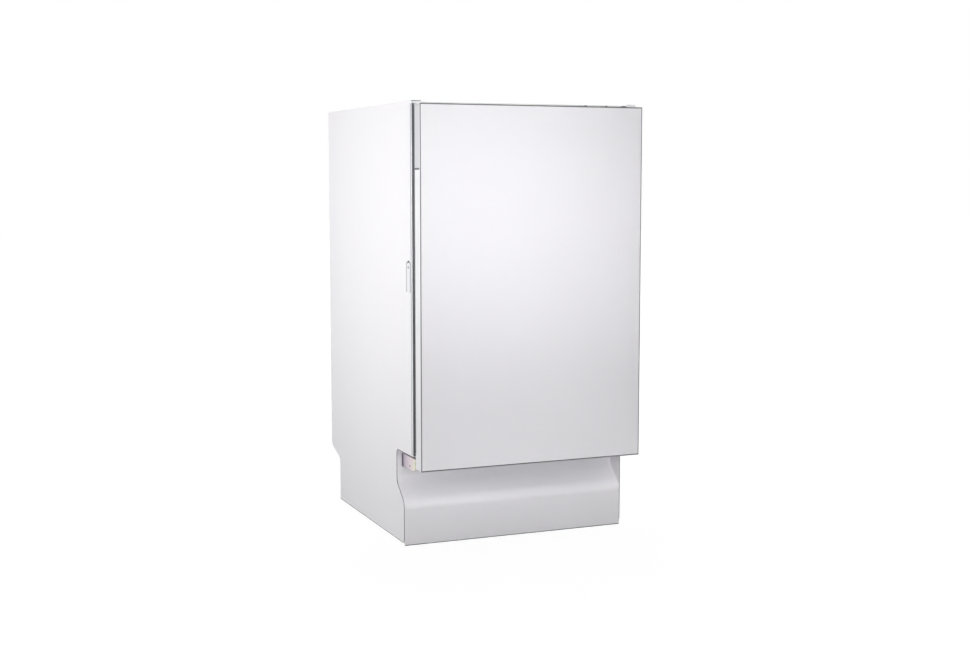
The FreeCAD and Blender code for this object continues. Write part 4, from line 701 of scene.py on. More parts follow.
    def round(self, edges: Iterable[BMEdge], radius: float, segments: int = 2) -> None:
        """Rounds edges to a radius, as far as their faces allow."""
        bmesh.ops.bevel(self.bm, geom=list(edges), offset=radius, offset_type="OFFSET",
                        segments=segments, profile=0.5, affect="EDGES", material=-1,
                        clamp_overlap=True)

    def cut(self, place: Point, across: Point, trim: bool = False) -> None:
        """Splits every face along a plane, and takes away the far side if asked.

        Args:
            place: a point on the plane.
            across: the plane's direction.
            trim: whether the far side goes and the cut is closed.
        """
        geometry = self.bm.verts[:] + self.bm.edges[:] + self.bm.faces[:]
        made = bmesh.ops.bisect_plane(self.bm, geom=geometry, plane_co=place, plane_no=across,
                                      dist=MERGE, clear_outer=trim)["geom_cut"]
        if trim:
            rim = [item for item in made if isinstance(item, BMEdge)]
            bmesh.ops.holes_fill(self.bm, edges=rim, sides=0)

    def lattice(self, bar: float) -> None:
        """Turns every face into an open frame of bars of that thickness."""
        bmesh.ops.wireframe(self.bm, faces=self.bm.faces[:], thickness=bar, offset=0.0,
                            use_replace=True, use_boundary=True, use_even_offset=True)

    def done(self, body: str, finish: str, *stands_for: str, outward: bool = True) -> None:
        """Finishes the piece: real size, smooth shading, its finish and the body it rides on.

        Args:
            body: the frame body.
            finish: a finish by name.
            stands_for: frame nodes that the piece takes the place of.
            outward: whether the normals are worked out again.
        """
        if outward:
            bmesh.ops.recalc_face_normals(self.bm, faces=self.bm.faces)
        bmesh.ops.scale(self.bm, vec=(MILLIMETRE,) * 3, verts=self.bm.verts)
        mesh = bpy.data.meshes.new(self.name)
        self.bm.to_mesh(mesh)
        self.bm.free()
        mesh.shade_smooth()
        mesh.set_sharp_from_angle(angle=math.radians(SMOOTH_ANGLE))
        made = put_in_scene(self.name, mesh)
        made.modifiers.new("even_shading", "WEIGHTED_NORMAL").keep_sharp = True
        mesh.materials.append(FINISHES[finish].material())
        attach(made, body)
        if stands_for:
            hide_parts(*stands_for)
        LOG.info("%s on %s, %d faces", self.name, body, len(mesh.polygons))


def softened(radii: dict[str, float], segments: int = 2, finish: str = "") -> None:
    """Copies frame nodes with their edges eased, each copy standing for its node.

    Args:
        radii: the radius of the edges of each node.
        segments: faces round an edge.
        finish: a finish other than the node's own.
    """
    for node, radius in radii.items():
        piece = Piece(f"{node}_skin")
        piece.copy_node(node)
        piece.round(piece.sharp(), radius, segments)
        piece.done(BODY_OF[node], finish or SLOT_OF[node], node, outward=False)


@dataclass
class Cabinet:
    """The painted outer case with its folds, painted edge shade lines, clips and rear ribs."""

    EASED: ClassVar[dict[str, float]] = {
        "back_panel": 0.4, "top_front_rail": 0.4, "latch_strike": 0.3,
    }
    CLIP_PIN: ClassVar[Profile] = (
        (0, 0), (2.3, 0), (2.3, 2.5), (1.9, 2.75), (0.9, 2.75), (0.8, 2.1), (0, 2.1))
    SCREW_HEAD: ClassVar[Profile] = (
        (0, 1), (1.4, 1), (1.6, 2), (3, 1.6), (3.8, 0.8), (4, 0), (4, -1.2), (0, -1.2))

    side: float = 224.0
    front: float = -239.0
    back: float = 275.0
    top: float = 815.0
    fold_radius: float = 1.2
    fold_slack: float = 0.01
    flange: float = 212.4
    strip_low: float = 177.5
    strip_high: float = 810.0
    corner: float = 205.5
    lip: float = 1.3
    edge_shade_radius: float = 0.6
    edge_shade_bend: float = 8.0
    edge_shade_inset: float = 0.15
    notch: Pair = (-151.0, 176.0)
    slope_high: float = 114.0
    slope_low: float = 81.5
    toe: float = -191.0
    rear_foot: float = 214.5
    bottom_shade_line: float = 5.2
    clip_middle: float = -220.5
    clip_low: float = 471.0
    clip_high: float = 531.0
    clip_half: float = 9.75
    clip_sheet: float = 1.2
    clip_gap: float = 0.3
    clip_shade: float = 4.0
    clip_pin: float = 518.5
    seat_half: float = 12.9
    seat_depths: Pair = (2.5, 1.0)
    seat_margin: float = 3.0
    shade_line_places: Pair = (-231.5, -211.5)
    shade_line_front: float = 2.6
    shade_line_margin: float = 3.0
    shade_line_foot: float = 1.0
    shade_line_half: float = 2.0
    shade_line_sunk: float = 0.1
    shade_line_proud: float = 0.3
    rib_heights: tuple[float, ...] = (240.0, 380.0, 520.0, 660.0)
    rib_reach: float = 176.0
    rib_half: float = 9.0
    rib_sunk: float = 0.6
    rib_proud: float = 1.1
    rib_edge: float = 0.6
    rib_corner: float = 8.9
    screw_reach: float = 217.0
    screw_heights: tuple[float, ...] = (140.0, 300.0, 460.0, 620.0, 780.0)

    def build(self) -> None:
        """Builds and dresses the case."""
        for name, sign in SIDES.items():
            self.side_panel(name, sign)
            self.front_edge(name, sign)
            self.clip(name, sign)
            self.trim(name, sign)
        self.edge_shade_lines()
        softened(self.EASED)
        self.rear()

    def side_panel(self, name: str, sign: int) -> None:
        """A side sheet with a rounded fold down its front edge.

        Args:
            name: which side.
            sign: minus for the left side and plus for the right.
        """
        node = f"side_panel_{name}"
        piece = Piece(f"{node}_skin")
        piece.copy_node(node)
        outer = self.side * sign

        def on_fold(a: Vector, b: Vector) -> bool:
            """Whether an edge runs up the outer front fold."""
            return all(abs(p.x - outer) < self.fold_slack
                       and abs(p.y - self.front) < self.fold_slack for p in (a, b))

        piece.round(piece.edges(on_fold), self.fold_radius, 4)
        piece.done("cabinet", SLOT_OF[node], node, outward=False)

    def front_edge(self, name: str, sign: int) -> None:
        """A dark strip of painted gap shade on a front flange, the white cap over its upper end and
        a lip.

        Args:
            name: which side.
            sign: minus for the left side and plus for the right.
        """
        fold = self.side - self.fold_radius
        shelf = self.top - self.lip
        # The lip is dark on the left side only, as a painted shade line along the top edge; on the
        # right it is white.
        lip_finish = "seam_and_shade_grey" if sign < 0 else "white_plastic"
        # The first strip is painted shade in the gap between the door and the flange.
        for part, finish, inner, outer, proud, sunk, low, high, soft in (
            ("painted_gap_shade", "seam_and_shade_grey", self.flange, fold, 0.5, 0.1,
             self.strip_low, self.strip_high, 0.2),
            ("cap", "white_plastic", self.corner, self.side - 0.3, 1.4, 0.2,
             self.strip_high, shelf, 0.6),
            ("lip", lip_finish, self.corner, self.side - 0.2, 1.6, 1.0, shelf, self.top, 0.3),
        ):
            piece = Piece(f"flange_{part}_{name}")
            piece.box((inner * sign, self.front - proud, low),
                      (outer * sign, self.front + sunk, high), soft)
            piece.done("cabinet", finish)

    def clip(self, name: str, sign: int) -> None:
        """A fixing clip: a white face and, round it, a dark seat whose colour paints the recess's
        shade as a crescent.

        Args:
            name: which side.
            sign: minus for the left side and plus for the right.
        """
        face = Piece(f"side_clip_{name}_face")
        near, far = self.clip_middle - self.clip_half, self.clip_middle + self.clip_half
        face.box(((self.side - self.clip_sheet) * sign, near, self.clip_low + self.clip_gap),
                 (self.side * sign, far, self.clip_high - self.clip_shade),
                 0.3, axis="x", radius=self.clip_half - ROUND_END)
        face.done("cabinet", "white_plastic", "side_clips")
        shade_seat = Piece(f"side_clip_{name}_seat")
        inner, outer = [(self.side - depth) * sign for depth in self.seat_depths]
        near, far = self.clip_middle - self.seat_half, self.clip_middle + self.seat_half
        shade_seat.box((inner, near, self.clip_low - self.seat_margin),
                 (outer, far, self.clip_high + self.seat_margin),
                 axis="x", radius=self.seat_half - ROUND_END)
        shade_seat.turned(self.CLIP_PIN, (inner, self.clip_middle, self.clip_pin), outwards(sign), 20)
        shade_seat.done("cabinet", "dark_plastic")

    def trim(self, name: str, sign: int) -> None:
        """Grey strips of painted shade on a side sheet: one to each side of the clip and one up the
        front.

        Args:
            name: which side.
            sign: minus for the left side and plus for the right.
        """
        piece = Piece(f"side_shade_lines_{name}")
        inner, outer = (self.side - self.shade_line_sunk) * sign, (self.side + self.shade_line_proud) * sign
        low, high = self.clip_low + self.shade_line_margin, self.clip_high - self.shade_line_margin
        strips = [(y, low, high) for y in self.shade_line_places]
        strips.append((self.front + self.shade_line_front, self.strip_low + self.shade_line_foot,
                       self.strip_high))
        for y, low, high in strips:
            piece.box((inner, y - self.shade_line_half, low), (outer, y + self.shade_line_half, high), 0.15)
        piece.done("cabinet", "part_grey")

    def edge_shade_lines(self) -> None:
        """A thin dark line of painted shade round the cut lower edges of both side sheets."""
        piece = Piece("panel_edge_shade")
        notch_y, notch_z = self.notch
        x = self.side - self.edge_shade_inset
        foot = [(self.toe, self.bottom_shade_line), (self.rear_foot, self.bottom_shade_line)]
        left = [(self.front, notch_z), self.notch, (notch_y, self.slope_high),
                (self.toe, self.slope_low), *foot]
        right = [(self.front, notch_z), (self.toe, notch_z), *foot]
        for line, side in ((left, -x), (right, x)):
            piece.wires([[(side, y, z) for y, z in line]], self.edge_shade_radius, self.edge_shade_bend)
        piece.done("cabinet", "seam_and_shade_grey")

    def rear(self) -> None:
        """The pressed ribs of the rear sheet and the screws that hold it."""
        ribs = Piece("back_panel_ribs")
        for z in self.rib_heights:
            ribs.box((-self.rib_reach, self.back - self.rib_sunk, z - self.rib_half),
                     (self.rib_reach, self.back + self.rib_proud, z + self.rib_half),
                     self.rib_edge, axis="y", radius=self.rib_corner)
        ribs.done("cabinet", "zinc_plate")
        screws = Piece("back_panel_screws")
        for sign in SIDES.values():
            for z in self.screw_heights:
                screws.turned(self.SCREW_HEAD, (self.screw_reach * sign, self.back, z), "y", 20)
        screws.done("cabinet", "bright_steel")


@dataclass
class Door:
    """The door: its front sheet with a dark rim of painted shade, console, inner liner and
    dispenser.
    """

    EASED: ClassVar[dict[str, float]] = {
        "door_edges": 0.6, "control_console": 0.8, "control_fascia": 0.5, "hinge_arm_left": 0.4,
        "hinge_arm_right": 0.4, "latch_housing": 0.4, "display_window": 0.3, "power_button": 0.9,
        "program_button": 0.9, "start_button": 0.9, "dispenser_body": 0.9, "dispenser_lid": 1.1,
        "rinse_cap": 0.9, "latch_pawl": 0.3,
    }
    LENS: ClassVar[Profile] = ((0, 0.4), (0.9, 0.3), (1.5, 0.05), (1.6, -0.4), (0, -0.4))
    SIGHT_GLASS: ClassVar[Profile] = ((0, 0.9), (2.6, 0.8), (4.2, 0.3), (4.6, -0.3), (0, -0.3))

    half: float = 220.0
    low: float = 154.0
    high: float = 809.0
    face: float = -275.0
    sheet: float = 0.9
    rim_left: float = 1.4
    rim_right: float = 2.0
    rim_top: float = 2.0
    rim_bottom: float = 2.2
    rim_back: float = -272.7
    edge_front: float = -270.0
    edge_back: float = -244.0
    edge_low: float = 184.0
    edge_high: float = 806.0
    gap_shade_depth: float = 2.5
    edge_lap: float = 0.4
    edge_proud: float = 0.1
    seam_half: float = 1.7
    seam_sunk: float = 0.4
    seam_proud: float = 0.12
    console_low: float = 694.5
    pan_half: float = 178.0
    pan_heights: Pair = (205.0, 690.0)
    pan_depth: float = 5.0
    pan_slack: float = 1.2
    pan_face: float = -229.5
    pan_face_slack: float = 0.6
    pan_corner: float = 16.0
    pan_edge: float = 4.5
    dispenser: tuple[float, float, float, float] = (-121.0, 67.0, 395.0, 505.0)
    keys: tuple[tuple[str, float, float, float], ...] = (
        ("power", 104.0, 111.0, 2.0), ("program", 147.0, 153.5, 2.0), ("start", 188.0, 189.5, 6.0))
    button_row: float = -257.0
    button_top: float = 810.2
    ridge_half: float = 3.0
    ridge_sunk: float = 0.4
    ridge_rise: float = 1.6
    lens_row: float = 8.6
    lid_ribs: tuple[float, float, int] = (-56.5, -44.5, 4)
    lid_rib_half: float = 1.0
    lid_rib_heights: Pair = (425.0, 475.0)
    lid_rib_depths: Pair = (-223.5, -222.5)
    sight_glass: Point = (60.0, -226.0, 425.0)
    latch_key: tuple[Point, Point] = ((1.0, -226.4, 470.0), (11.0, -223.6, 488.0))

    def build(self) -> None:
        """Builds and dresses the door."""
        self.front()
        self.joints_and_gap_shade()
        self.liner()
        softened(self.EASED, segments=3)
        self.controls()
        self.dispenser_trim()

    def front(self) -> None:
        """The flat front sheet, the dark rim of painted shade behind its edges and the white
        return.
        """
        behind = self.face + self.sheet
        sheet = Piece("door_front_sheet")
        sheet.box((-self.half + self.rim_left, self.face, self.low + self.rim_bottom),
                  (self.half - self.rim_right, behind, self.high - self.rim_top), 0.3)
        sheet.done("door", "white_paint", "door_outer_panel")
        rim = Piece("door_front_shade_rim")
        rim.box((-self.half, behind, self.low), (self.half, self.rim_back, self.high), 0.3)
        rim.done("door", "seam_and_shade_grey")
        back = Piece("door_front_return")
        back.copy_node("door_outer_panel")
        back.cut((0, self.rim_back, 0), (0, -1, 0), trim=True)
        back.done("door", "white_paint")

    def joints_and_gap_shade(self) -> None:
        """The dark lines at both sides: a joint under the console, and painted gap shade along the
        rear edge.
        """
        piece = Piece("door_joint_and_gap_shade")
        for sign in SIDES.values():
            inner = (self.half - self.seam_sunk) * sign
            # The band along the rear edge is painted shade of the gap behind the door.
            piece.box((inner, self.edge_back - self.gap_shade_depth, self.edge_low),
                      ((self.half + self.edge_proud) * sign, self.edge_back + self.edge_lap,
                       self.edge_high), 0.1)
            piece.box((inner, self.edge_front, self.console_low - self.seam_half),
                      ((self.half + self.seam_proud) * sign, self.edge_back,
                       self.console_low + self.seam_half), 0.1)
        piece.done("door", "seam_and_shade_grey")

    def liner(self) -> None:
        """The steel inner door with the round corners of its pressed pan."""
        piece = Piece("door_inner_liner_skin")
        piece.copy_node("door_inner_liner")
        low, high = self.pan_heights
        left, right, under, over = self.dispenser

        def on_corner(a: Vector, b: Vector) -> bool:
            """Whether an edge runs through the pan's depth at one of its corners."""
            return (abs(a.y - b.y) > self.pan_depth
                    and abs(abs(a.x) - self.pan_half) < self.pan_slack
                    and min(abs(a.z - low), abs(a.z - high)) < self.pan_slack)

        def on_rim(edge: BMEdge) -> bool:
            """Whether an edge lies round the pan's face, on either side of the sheet."""
            return all(abs(p.y - self.pan_face) < self.pan_face_slack
                       and not (left < p.x < right and under < p.z < over)
                       for p in (vert.co for vert in edge.verts))

        piece.round(piece.edges(on_corner), self.pan_corner, 6)
        piece.round([edge for edge in piece.sharp() if on_rim(edge)], self.pan_edge, 4)
        piece.done("door", "bright_steel", "door_inner_liner", outward=False)

    def controls(self) -> None:
        """A raised finger ridge on each key and a small lens in front of it."""
        lens = Piece("key_lenses")
        near, far = self.button_row - self.ridge_half, self.button_row + self.ridge_half
        low, high = self.button_top - self.ridge_sunk, self.button_top + self.ridge_rise
        for name, x, ridge, width in self.keys:
            piece = Piece(f"{name}_button_ridge")
            piece.box((ridge - width / 2, near, low), (ridge + width / 2, far, high), 0.5)
            piece.done(f"{name}_button", "button_plastic")
            lens.turned(self.LENS, (x, self.button_row - self.lens_row, self.high), steps=20)
        lens.done("door", "display_pane")

    def dispenser_trim(self) -> None:
        """The grip ribs on the lid, and the sight glass and latch key beside it."""
        ribs = Piece("dispenser_lid_ribs")
        near, far = self.lid_rib_depths
        low, high = self.lid_rib_heights
        for x in spread(*self.lid_ribs):
            ribs.box((x - self.lid_rib_half, near, low), (x + self.lid_rib_half, far, high), 0.4)
        ribs.done("dispenser_lid", "part_grey")
        glass = Piece("dispenser_sight_glass")
        glass.turned(self.SIGHT_GLASS, self.sight_glass, "y", 24)
        glass.done("door", "display_pane")
        key = Piece("dispenser_key")
        key.box(*self.latch_key, 1.0, 3)
        key.done("door", "cap_blue_grey")


@dataclass
class Base:
    """The moulded base with its kick panel, screwed feet and connections."""

    EASED: ClassVar[dict[str, float]] = {
        "plinth_panel": 0.3, "base_tray": 0.5, "inlet_valve": 0.5, "drain_spigot": 0.5,
        "cord_gland": 0.5, "hinge_bracket_left": 0.4, "hinge_bracket_right": 0.4,
        "hinge_pins": 0.3, "sump": 0.6, "circulation_pump": 0.8, "drain_pump": 0.8,
        "softener_tank": 1.0, "pump_rotor": 0.4,
    }
    RIVET: ClassVar[Profile] = ((0, 0.9), (1.1, 0.7), (1.8, 0.1), (1.8, -0.4), (0, -0.4))

    bottom_shade_line: Point = (222.6, -190.9, 0.9)
    bottom_shade_radius: float = 0.8
    rivet: Point = (212.2, -189.5, 149.5)
    feet: tuple[tuple[str, float, float], ...] = (
        ("front_foot_left", -185.0, -163.0), ("front_foot_right", 185.0, -163.0),
        ("rear_foot", 0.0, 165.0))
    foot_radius: float = 22.0
    foot_pad: float = 5.7
    foot_ribs: int = 12
    stem: float = 6.0
    stem_top: float = 56.0
    thread: float = 2.5
    thread_depth: float = 0.6

    def build(self) -> None:
        """Builds and dresses the base."""
        softened(self.EASED)
        # A dark line of painted contact shadow along the foot of the kick panel.
        bottom_shade_line = Piece("kick_panel_contact_shadow")
        half, y, z = self.bottom_shade_line
        bottom_shade_line.wires([[(-half, y, z), (half, y, z)]], self.bottom_shade_radius)
        bottom_shade_line.done("cabinet", "rubber_seal")
        rivets = Piece("hinge_rivets")
        x, y, z = self.rivet
        for sign in SIDES.values():
            rivets.turned(self.RIVET, (x * sign, y, z), outwards(sign), 18)
        rivets.done("cabinet", "seam_and_shade_grey")
        for node, x, y in self.feet:
            self.foot(node, x, y)

    def foot(self, node: str, x: float, y: float) -> None:
        """A levelling foot: a ribbed pad under a threaded stem.

        Args:
            node: the frame node that it stands for.
            x: its place across.
            y: its place in depth.
        """
        piece = Piece(f"{node}_skin")
        pad, stem = self.foot_radius, self.stem
        core = stem - self.thread_depth
        profile = [(0, 0), (pad - 1.2, 0), (pad, 1.0), (pad, 3.2), (pad - 2.5, 4.4),
                   (pad - 8, 4.6), (stem + 3, self.foot_pad), (core, self.foot_pad)]
        for step in range(int((self.stem_top - self.foot_pad - 1) / self.thread)):
            low = self.foot_pad + step * self.thread
            profile += [(core, low + 0.6), (stem, low + 1.25), (core, low + 1.9)]
        profile += [(stem - 1.2, self.stem_top), (0, self.stem_top)]
        piece.turned(profile, (x, y, 0), steps=28)
        rib = Piece(node)
        rib.box((pad - 1.2, -1.2, 0.6), (pad + 0.5, 1.2, 3.4), 0.4)
        middle = Matrix.Translation((x, y, 0))
        piece.join(rib, *(middle @ Matrix.Rotation(math.tau * turn / self.foot_ribs, 4, "Z")
                          for turn in range(self.foot_ribs)))
        piece.done(node, SLOT_OF[node], node)


@dataclass
class Tub:
    """The steel tub with its bulb seal, floor parts and spray arms."""

    EASED: ClassVar[dict[str, float]] = {
        "tub_wrapper": 0.4, "tub_back": 0.4, "tub_floor": 0.9, "damping_mat": 0.5,
        "feed_pipe": 2.0, "spray_arm_hub": 0.9, "filter_cylinder": 0.8, "salt_cap": 0.9,
        "float": 0.9, "rail_carriers": 0.6, "upper_rails": 0.4,
    }
    NOZZLE: ClassVar[Profile] = (
        (0, 0.2), (1.3, 0.2), (1.7, 1.3), (2.8, 1.1), (3.6, 0.2), (3.9, -0.8), (0, -0.8))

    half: float = 203.0
    back: float = 232.0
    seal_half: float = 207.4
    seal_low: float = 178.0
    seal_high: float = 795.4
    seal_y: float = -240.4
    seal_bend: float = 27.0
    seal_strands: tuple[Pair, ...] = ((0.0, 2.3), (-2.4, 0.9), (2.2, 0.8))
    side_fields: tuple[Pair, ...] = ((225.0, 330.0), (360.0, 560.0), (660.0, 750.0))
    side_field_reach: float = 150.0
    back_fields: tuple[Pair, ...] = ((230.0, 440.0), (480.0, 720.0))
    back_field_sides: Pair = (40.0, 165.0)
    field_proud: float = 1.3
    field_sunk: float = 0.2
    field_edge: float = 1.1
    field_corner: float = 14.0
    lower_arm: Point = (0.0, 15.0, 168.0)
    upper_arm: Point = (0.0, -3.0, 501.3)
    arm_height: float = 14.0
    arm_radius: float = 4.5
    arm_hub: float = 16.0
    nozzle_reaches: tuple[float, ...] = (48.0, 76.0, 104.0, 130.0, 152.0)
    nozzle_offsets: tuple[float, ...] = (4.5, -3.5, 2.5)

    def build(self) -> None:
        """Builds and dresses the tub."""
        softened(self.EASED, segments=3)
        softened({"filter_plate": 0.3}, finish="filter_mesh")
        self.seal()
        self.pressings()
        self.arm("lower_spray_arm", self.lower_arm, (1,))
        self.arm("upper_spray_arm", self.upper_arm, (1, -1))

    def seal(self) -> None:
        """The door seal over the tub's mouth: a bulb with a thin lip along either side."""
        piece = Piece("door_gasket_skin")
        y, low = self.seal_y, self.seal_low
        for out, radius in self.seal_strands:
            half, high = self.seal_half + out, self.seal_high + out
            arch = [(-half, y, low), (-half, y, high), (half, y, high), (half, y, low)]
            piece.wires([arch], radius, self.seal_bend + out, sides=3)
        piece.done("cabinet", "rubber_seal", "door_gasket")

    def pressings(self) -> None:
        """The shallow pressed fields that stiffen the steel walls."""
        piece = Piece("tub_pressings")
        reach, proud, sunk = self.side_field_reach, self.field_proud, self.field_sunk
        inner, outer = self.back_field_sides
        for sign in SIDES.values():
            for low, high in self.side_fields:
                piece.box(((self.half - proud) * sign, -reach, low),
                          ((self.half + sunk) * sign, reach, high),
                          self.field_edge, 3, axis="x", radius=self.field_corner)
        for low, high in self.back_fields:
            for sign in SIDES.values():
                piece.box((inner * sign, self.back - proud, low),
                          (outer * sign, self.back + sunk, high),
                          self.field_edge, 3, axis="y", radius=self.field_corner)
        piece.done("cabinet", "bright_steel")

    def arm(self, node: str, centre: Point, faces: tuple[int, ...]) -> None:
        """A spray arm with rounded flanks and a row of nozzles on each wing.

        Args:
            node: the frame node that it stands for.
            centre: the middle of its underside.
            faces: plus for nozzles on its top, minus for nozzles below.
        """
        piece = Piece(f"{node}_skin")
        piece.copy_node(node)
        x, y, low = centre

        def outside(edge: BMEdge) -> bool:
            """Whether an edge lies away from the hub's bore."""
            return all((vert.co.xy - Vector((x, y))).length > self.arm_hub for vert in edge.verts)

        piece.round([edge for edge in piece.sharp() if outside(edge)], self.arm_radius, 5)
        for face in faces:
            z, axis = (low + self.arm_height, "z") if face > 0 else (low, "-z")
            for wing in SIDES.values():
                for step, reach in enumerate(self.nozzle_reaches):
                    off = self.nozzle_offsets[step % len(self.nozzle_offsets)] * wing * face
                    piece.turned(self.NOZZLE, (x + reach * wing, y + off, z), axis, 18)
        piece.done(node, SLOT_OF[node], node, outward=False)


@dataclass
class WireRack:
    """A rack of bent wires: a floor that runs up all four sides and rims round them."""

    node: str
    half: float
    floor: float
    rims: Pair
    long_count: int
    cross_count: int
    grip_heights: Pair
    front: float = -200.0
    back: float = 205.0
    wire: float = 2.0
    lap: float = 3.85
    long_inset: float = 21.0
    cross_inset: float = 25.0
    bend: float = 14.0
    corner: float = 20.0
    grip_half: float = 55.0
    grip_depths: Pair = (5.0, 2.2)
    grip_edge: float = 1.2
    grip_corner: float = 7.0
    roll: float = 2.6
    roll_depth: float = 4.5
    roll_inset: float = 6.0
    roll_margins: Pair = (4.0, 6.0)

    def rows(self) -> list[float]:
        """The places of the wires that run from front to back."""
        return spread(self.long_inset - self.half, self.half - self.long_inset, self.long_count)

    def posts(self) -> list[float]:
        """The depths of the wires that run across."""
        return spread(self.front + self.cross_inset, self.back - self.cross_inset,
                      self.cross_count)

    def wires(self) -> Piece:
        """The bent floor wires and the closed rims.

        Returns:
            The unfinished piece.
        """
        piece = Piece(f"{self.node}_wires")
        half, front, back, floor = self.half, self.front, self.back, self.floor
        top = self.rims[-1] - self.lap
        low = floor - self.lap
        lines = [[(x, front, top), (x, front, floor), (x, back, floor), (x, back, top)]
                 for x in self.rows()]
        lines += [[(-half, y, top), (-half, y, low), (half, y, low), (half, y, top)]
                  for y in self.posts()]
        piece.wires(lines, self.wire, self.bend)
        out, near, far = half + self.lap, front - self.lap, back + self.lap
        loops = [loop((-out, out), (near, far), rim - self.lap / 2) for rim in self.rims]
        piece.wires(loops, self.wire, self.corner, closed=True)
        return piece

    def grip(self) -> None:
        """The moulded grip clipped round the rims at the front, with a roll above and below."""
        piece = Piece(f"{self.node}_grip")
        edge = self.front - self.lap
        near, far = [edge - depth for depth in self.grip_depths]
        low, high = self.grip_heights
        piece.box((-self.grip_half, near, low), (self.grip_half, far, high), self.grip_edge, 3,
                  axis="y", radius=self.grip_corner)
        end, y = self.grip_half - self.roll_inset, edge - self.roll_depth
        below, above = self.roll_margins
        for z in (low + below, high - above):
            piece.wires([[(-end, y, z), (end, y, z)]], self.roll, sides=3)
        piece.done(self.node, "part_grey")


@dataclass
class Racks:
    """The two wire racks with their wheels, tines, basket, runners and shelf."""

    AXLE: ClassVar[Profile] = ((0, 0), (3.95, 0), (3.95, 12.2), (3.4, 12.8), (0, 12.8))
    WHEEL_HALF: ClassVar[tuple[Pair, ...]] = (
        (4.1, 5), (7, 5), (7.5, 3.2), (13, 3.2), (13.5, 5), (16, 5), (17, 4), (17, 0.8), (16.5, 0))
    ARM_HUB: ClassVar[Profile] = (
        (0, 0), (12.5, 0), (14, 1.5), (14, 5.7), (9, 5.7), (9, 20.3), (14, 20.3), (14, 28), (0, 28))

    lower: WireRack
    upper: WireRack
    tine: float = 1.75
    tine_height: float = 62.0
    tine_places: tuple[float, float, int] = (-166.0, 171.0, 10)
    tine_rows: tuple[int, int] = (1, 3)
    fold_x: float = 23.57
    fold_z: float = 218.6
    fold_rod: float = 2.0
    fold_gap: float = 0.3
    fold_rise: float = 1.8
    fold_clip_half: Pair = (4.5, 4.0)
    fold_clip_heights: Pair = (215.0, 222.6)
    wheel_z: float = 182.3
    wheel_x: float = 186.0
    wheel_rows: tuple[tuple[str, float], ...] = (
        ("front_rack_wheels", -125.0), ("rear_rack_wheels", 152.0))
    block_sides: Pair = (168.7, 180.7)
    block_heights: Pair = (176.3, 209.5)
    block_half: float = 10.0
    basket_low: Point = (96.0, -185.0, 216.6)
    basket_high: Point = (176.0, 27.0, 328.6)
    basket_cells: int = 5
    basket_mesh: Point = (10.0, 10.6, 10.4)
    basket_bar: float = 1.8
    basket_bend: float = 6.0
    wall_drop: float = 8.0
    divider_half: float = 0.9
    divider_inset: float = 1.0
    divider_drop: float = 6.0
    rim: float = 3.2
    rim_drop: float = 5.0
    sole: float = 2.4
    sole_rise: float = 2.0
    handle: float = 4.0
    handle_half: float = 52.0
    handle_rise: float = 36.0
    handle_bend: float = 22.0
    rail_z: float = 611.0
    runner_rows: Pair = (45.0, 175.0)
    runner_sides: Pair = (181.0, 197.6)
    runner_half: Pair = (8.0, 11.0)
    shelf_x: float = -168.0
    shelf_z: float = 652.0
    shelf_reach: float = 68.0
    shelf_rim: float = 2.0
    shelf_bend: float = 10.0
    shelf_wire: float = 1.5
    shelf_clip: float = -174.5
    shelf_clip_half: Pair = (5.0, 6.0)
    channel: tuple[Point, Point] = ((-10.0, -17.0, 523.3), (10.0, 214.0, 539.3))
    hub: Point = (0.0, -3.0, 495.3)

    def build(self) -> None:
        """Builds and dresses the racks."""
        self.lower_rack()
        self.folding_tines()
        self.wheels()
        self.basket()
        self.upper_rack()
        self.cup_shelf()

    def tines(self, x: float, low: float, high: float) -> list[list[Point]]:
        """One row of upright plate tines.

        Args:
            x: the row's place across.
            low: where the tines stand.
            high: where they end.

        Returns:
            The line of each tine.
        """
        return [[(x, y, low), (x, y, high)] for y in spread(*self.tine_places)]

    def lower_rack(self) -> None:
        """The lower rack's wires with two fixed rows of tines, wheel blocks and tine clips."""
        rack = self.lower
        wires = rack.wires()
        rows = rack.rows()
        lines = [line for row in self.tine_rows
                 for line in self.tines(rows[row], rack.floor, rack.floor + self.tine_height)]
        wires.wires(lines, self.tine, sides=3)
        wires.done("lower_rack", "wire_coat", "lower_rack")
        blocks = Piece("lower_rack_blocks")
        inner, outer = self.block_sides
        low, high = self.block_heights
        for _, y in self.wheel_rows:
            for sign in SIDES.values():
                blocks.box((inner * sign, y - self.block_half, low),
                           (outer * sign, y + self.block_half, high), 1.5, 3)
                blocks.turned(self.AXLE, (outer * sign, y, self.wheel_z), outwards(sign), 24)
        places = spread(*self.tine_places)
        wide, deep = self.fold_clip_half
        low, high = self.fold_clip_heights
        for pair in (places[:2], places[-2:]):
            y = sum(pair) / 2
            blocks.box((self.fold_x - wide, y - deep, low),
                       (self.fold_x + wide, y + deep, high), 1.0, 3)
        blocks.done("lower_rack", "part_grey")
        rack.grip()

    def folding_tines(self) -> None:
        """The row of plate tines that folds down on its rod."""
        piece = Piece("folding_tines_wires")
        rack = self.lower
        reach = rack.wire + self.fold_gap
        x, z = self.fold_x, self.fold_z
        piece.wires([[(x, rack.front + reach, z), (x, rack.back - reach, z)]],
                    self.fold_rod, sides=3)
        piece.wires(self.tines(x, z, z + self.tine_height + self.fold_rise), self.tine, sides=3)
        piece.done("folding_tines", "wire_coat", "folding_tines")

    def wheels(self) -> None:
        """The wheels of the lower rack, each with a rim, a dished web and a hub."""
        half = self.WHEEL_HALF
        profile = [*half, *((radius, -height) for radius, height in reversed(half[:-1]))]
        for node, y in self.wheel_rows:
            piece = Piece(f"{node}_skin")
            for sign in SIDES.values():
                piece.turned(profile, (self.wheel_x * sign, y, self.wheel_z), "x", 40, ring=True)
            piece.done(node, SLOT_OF[node], node)

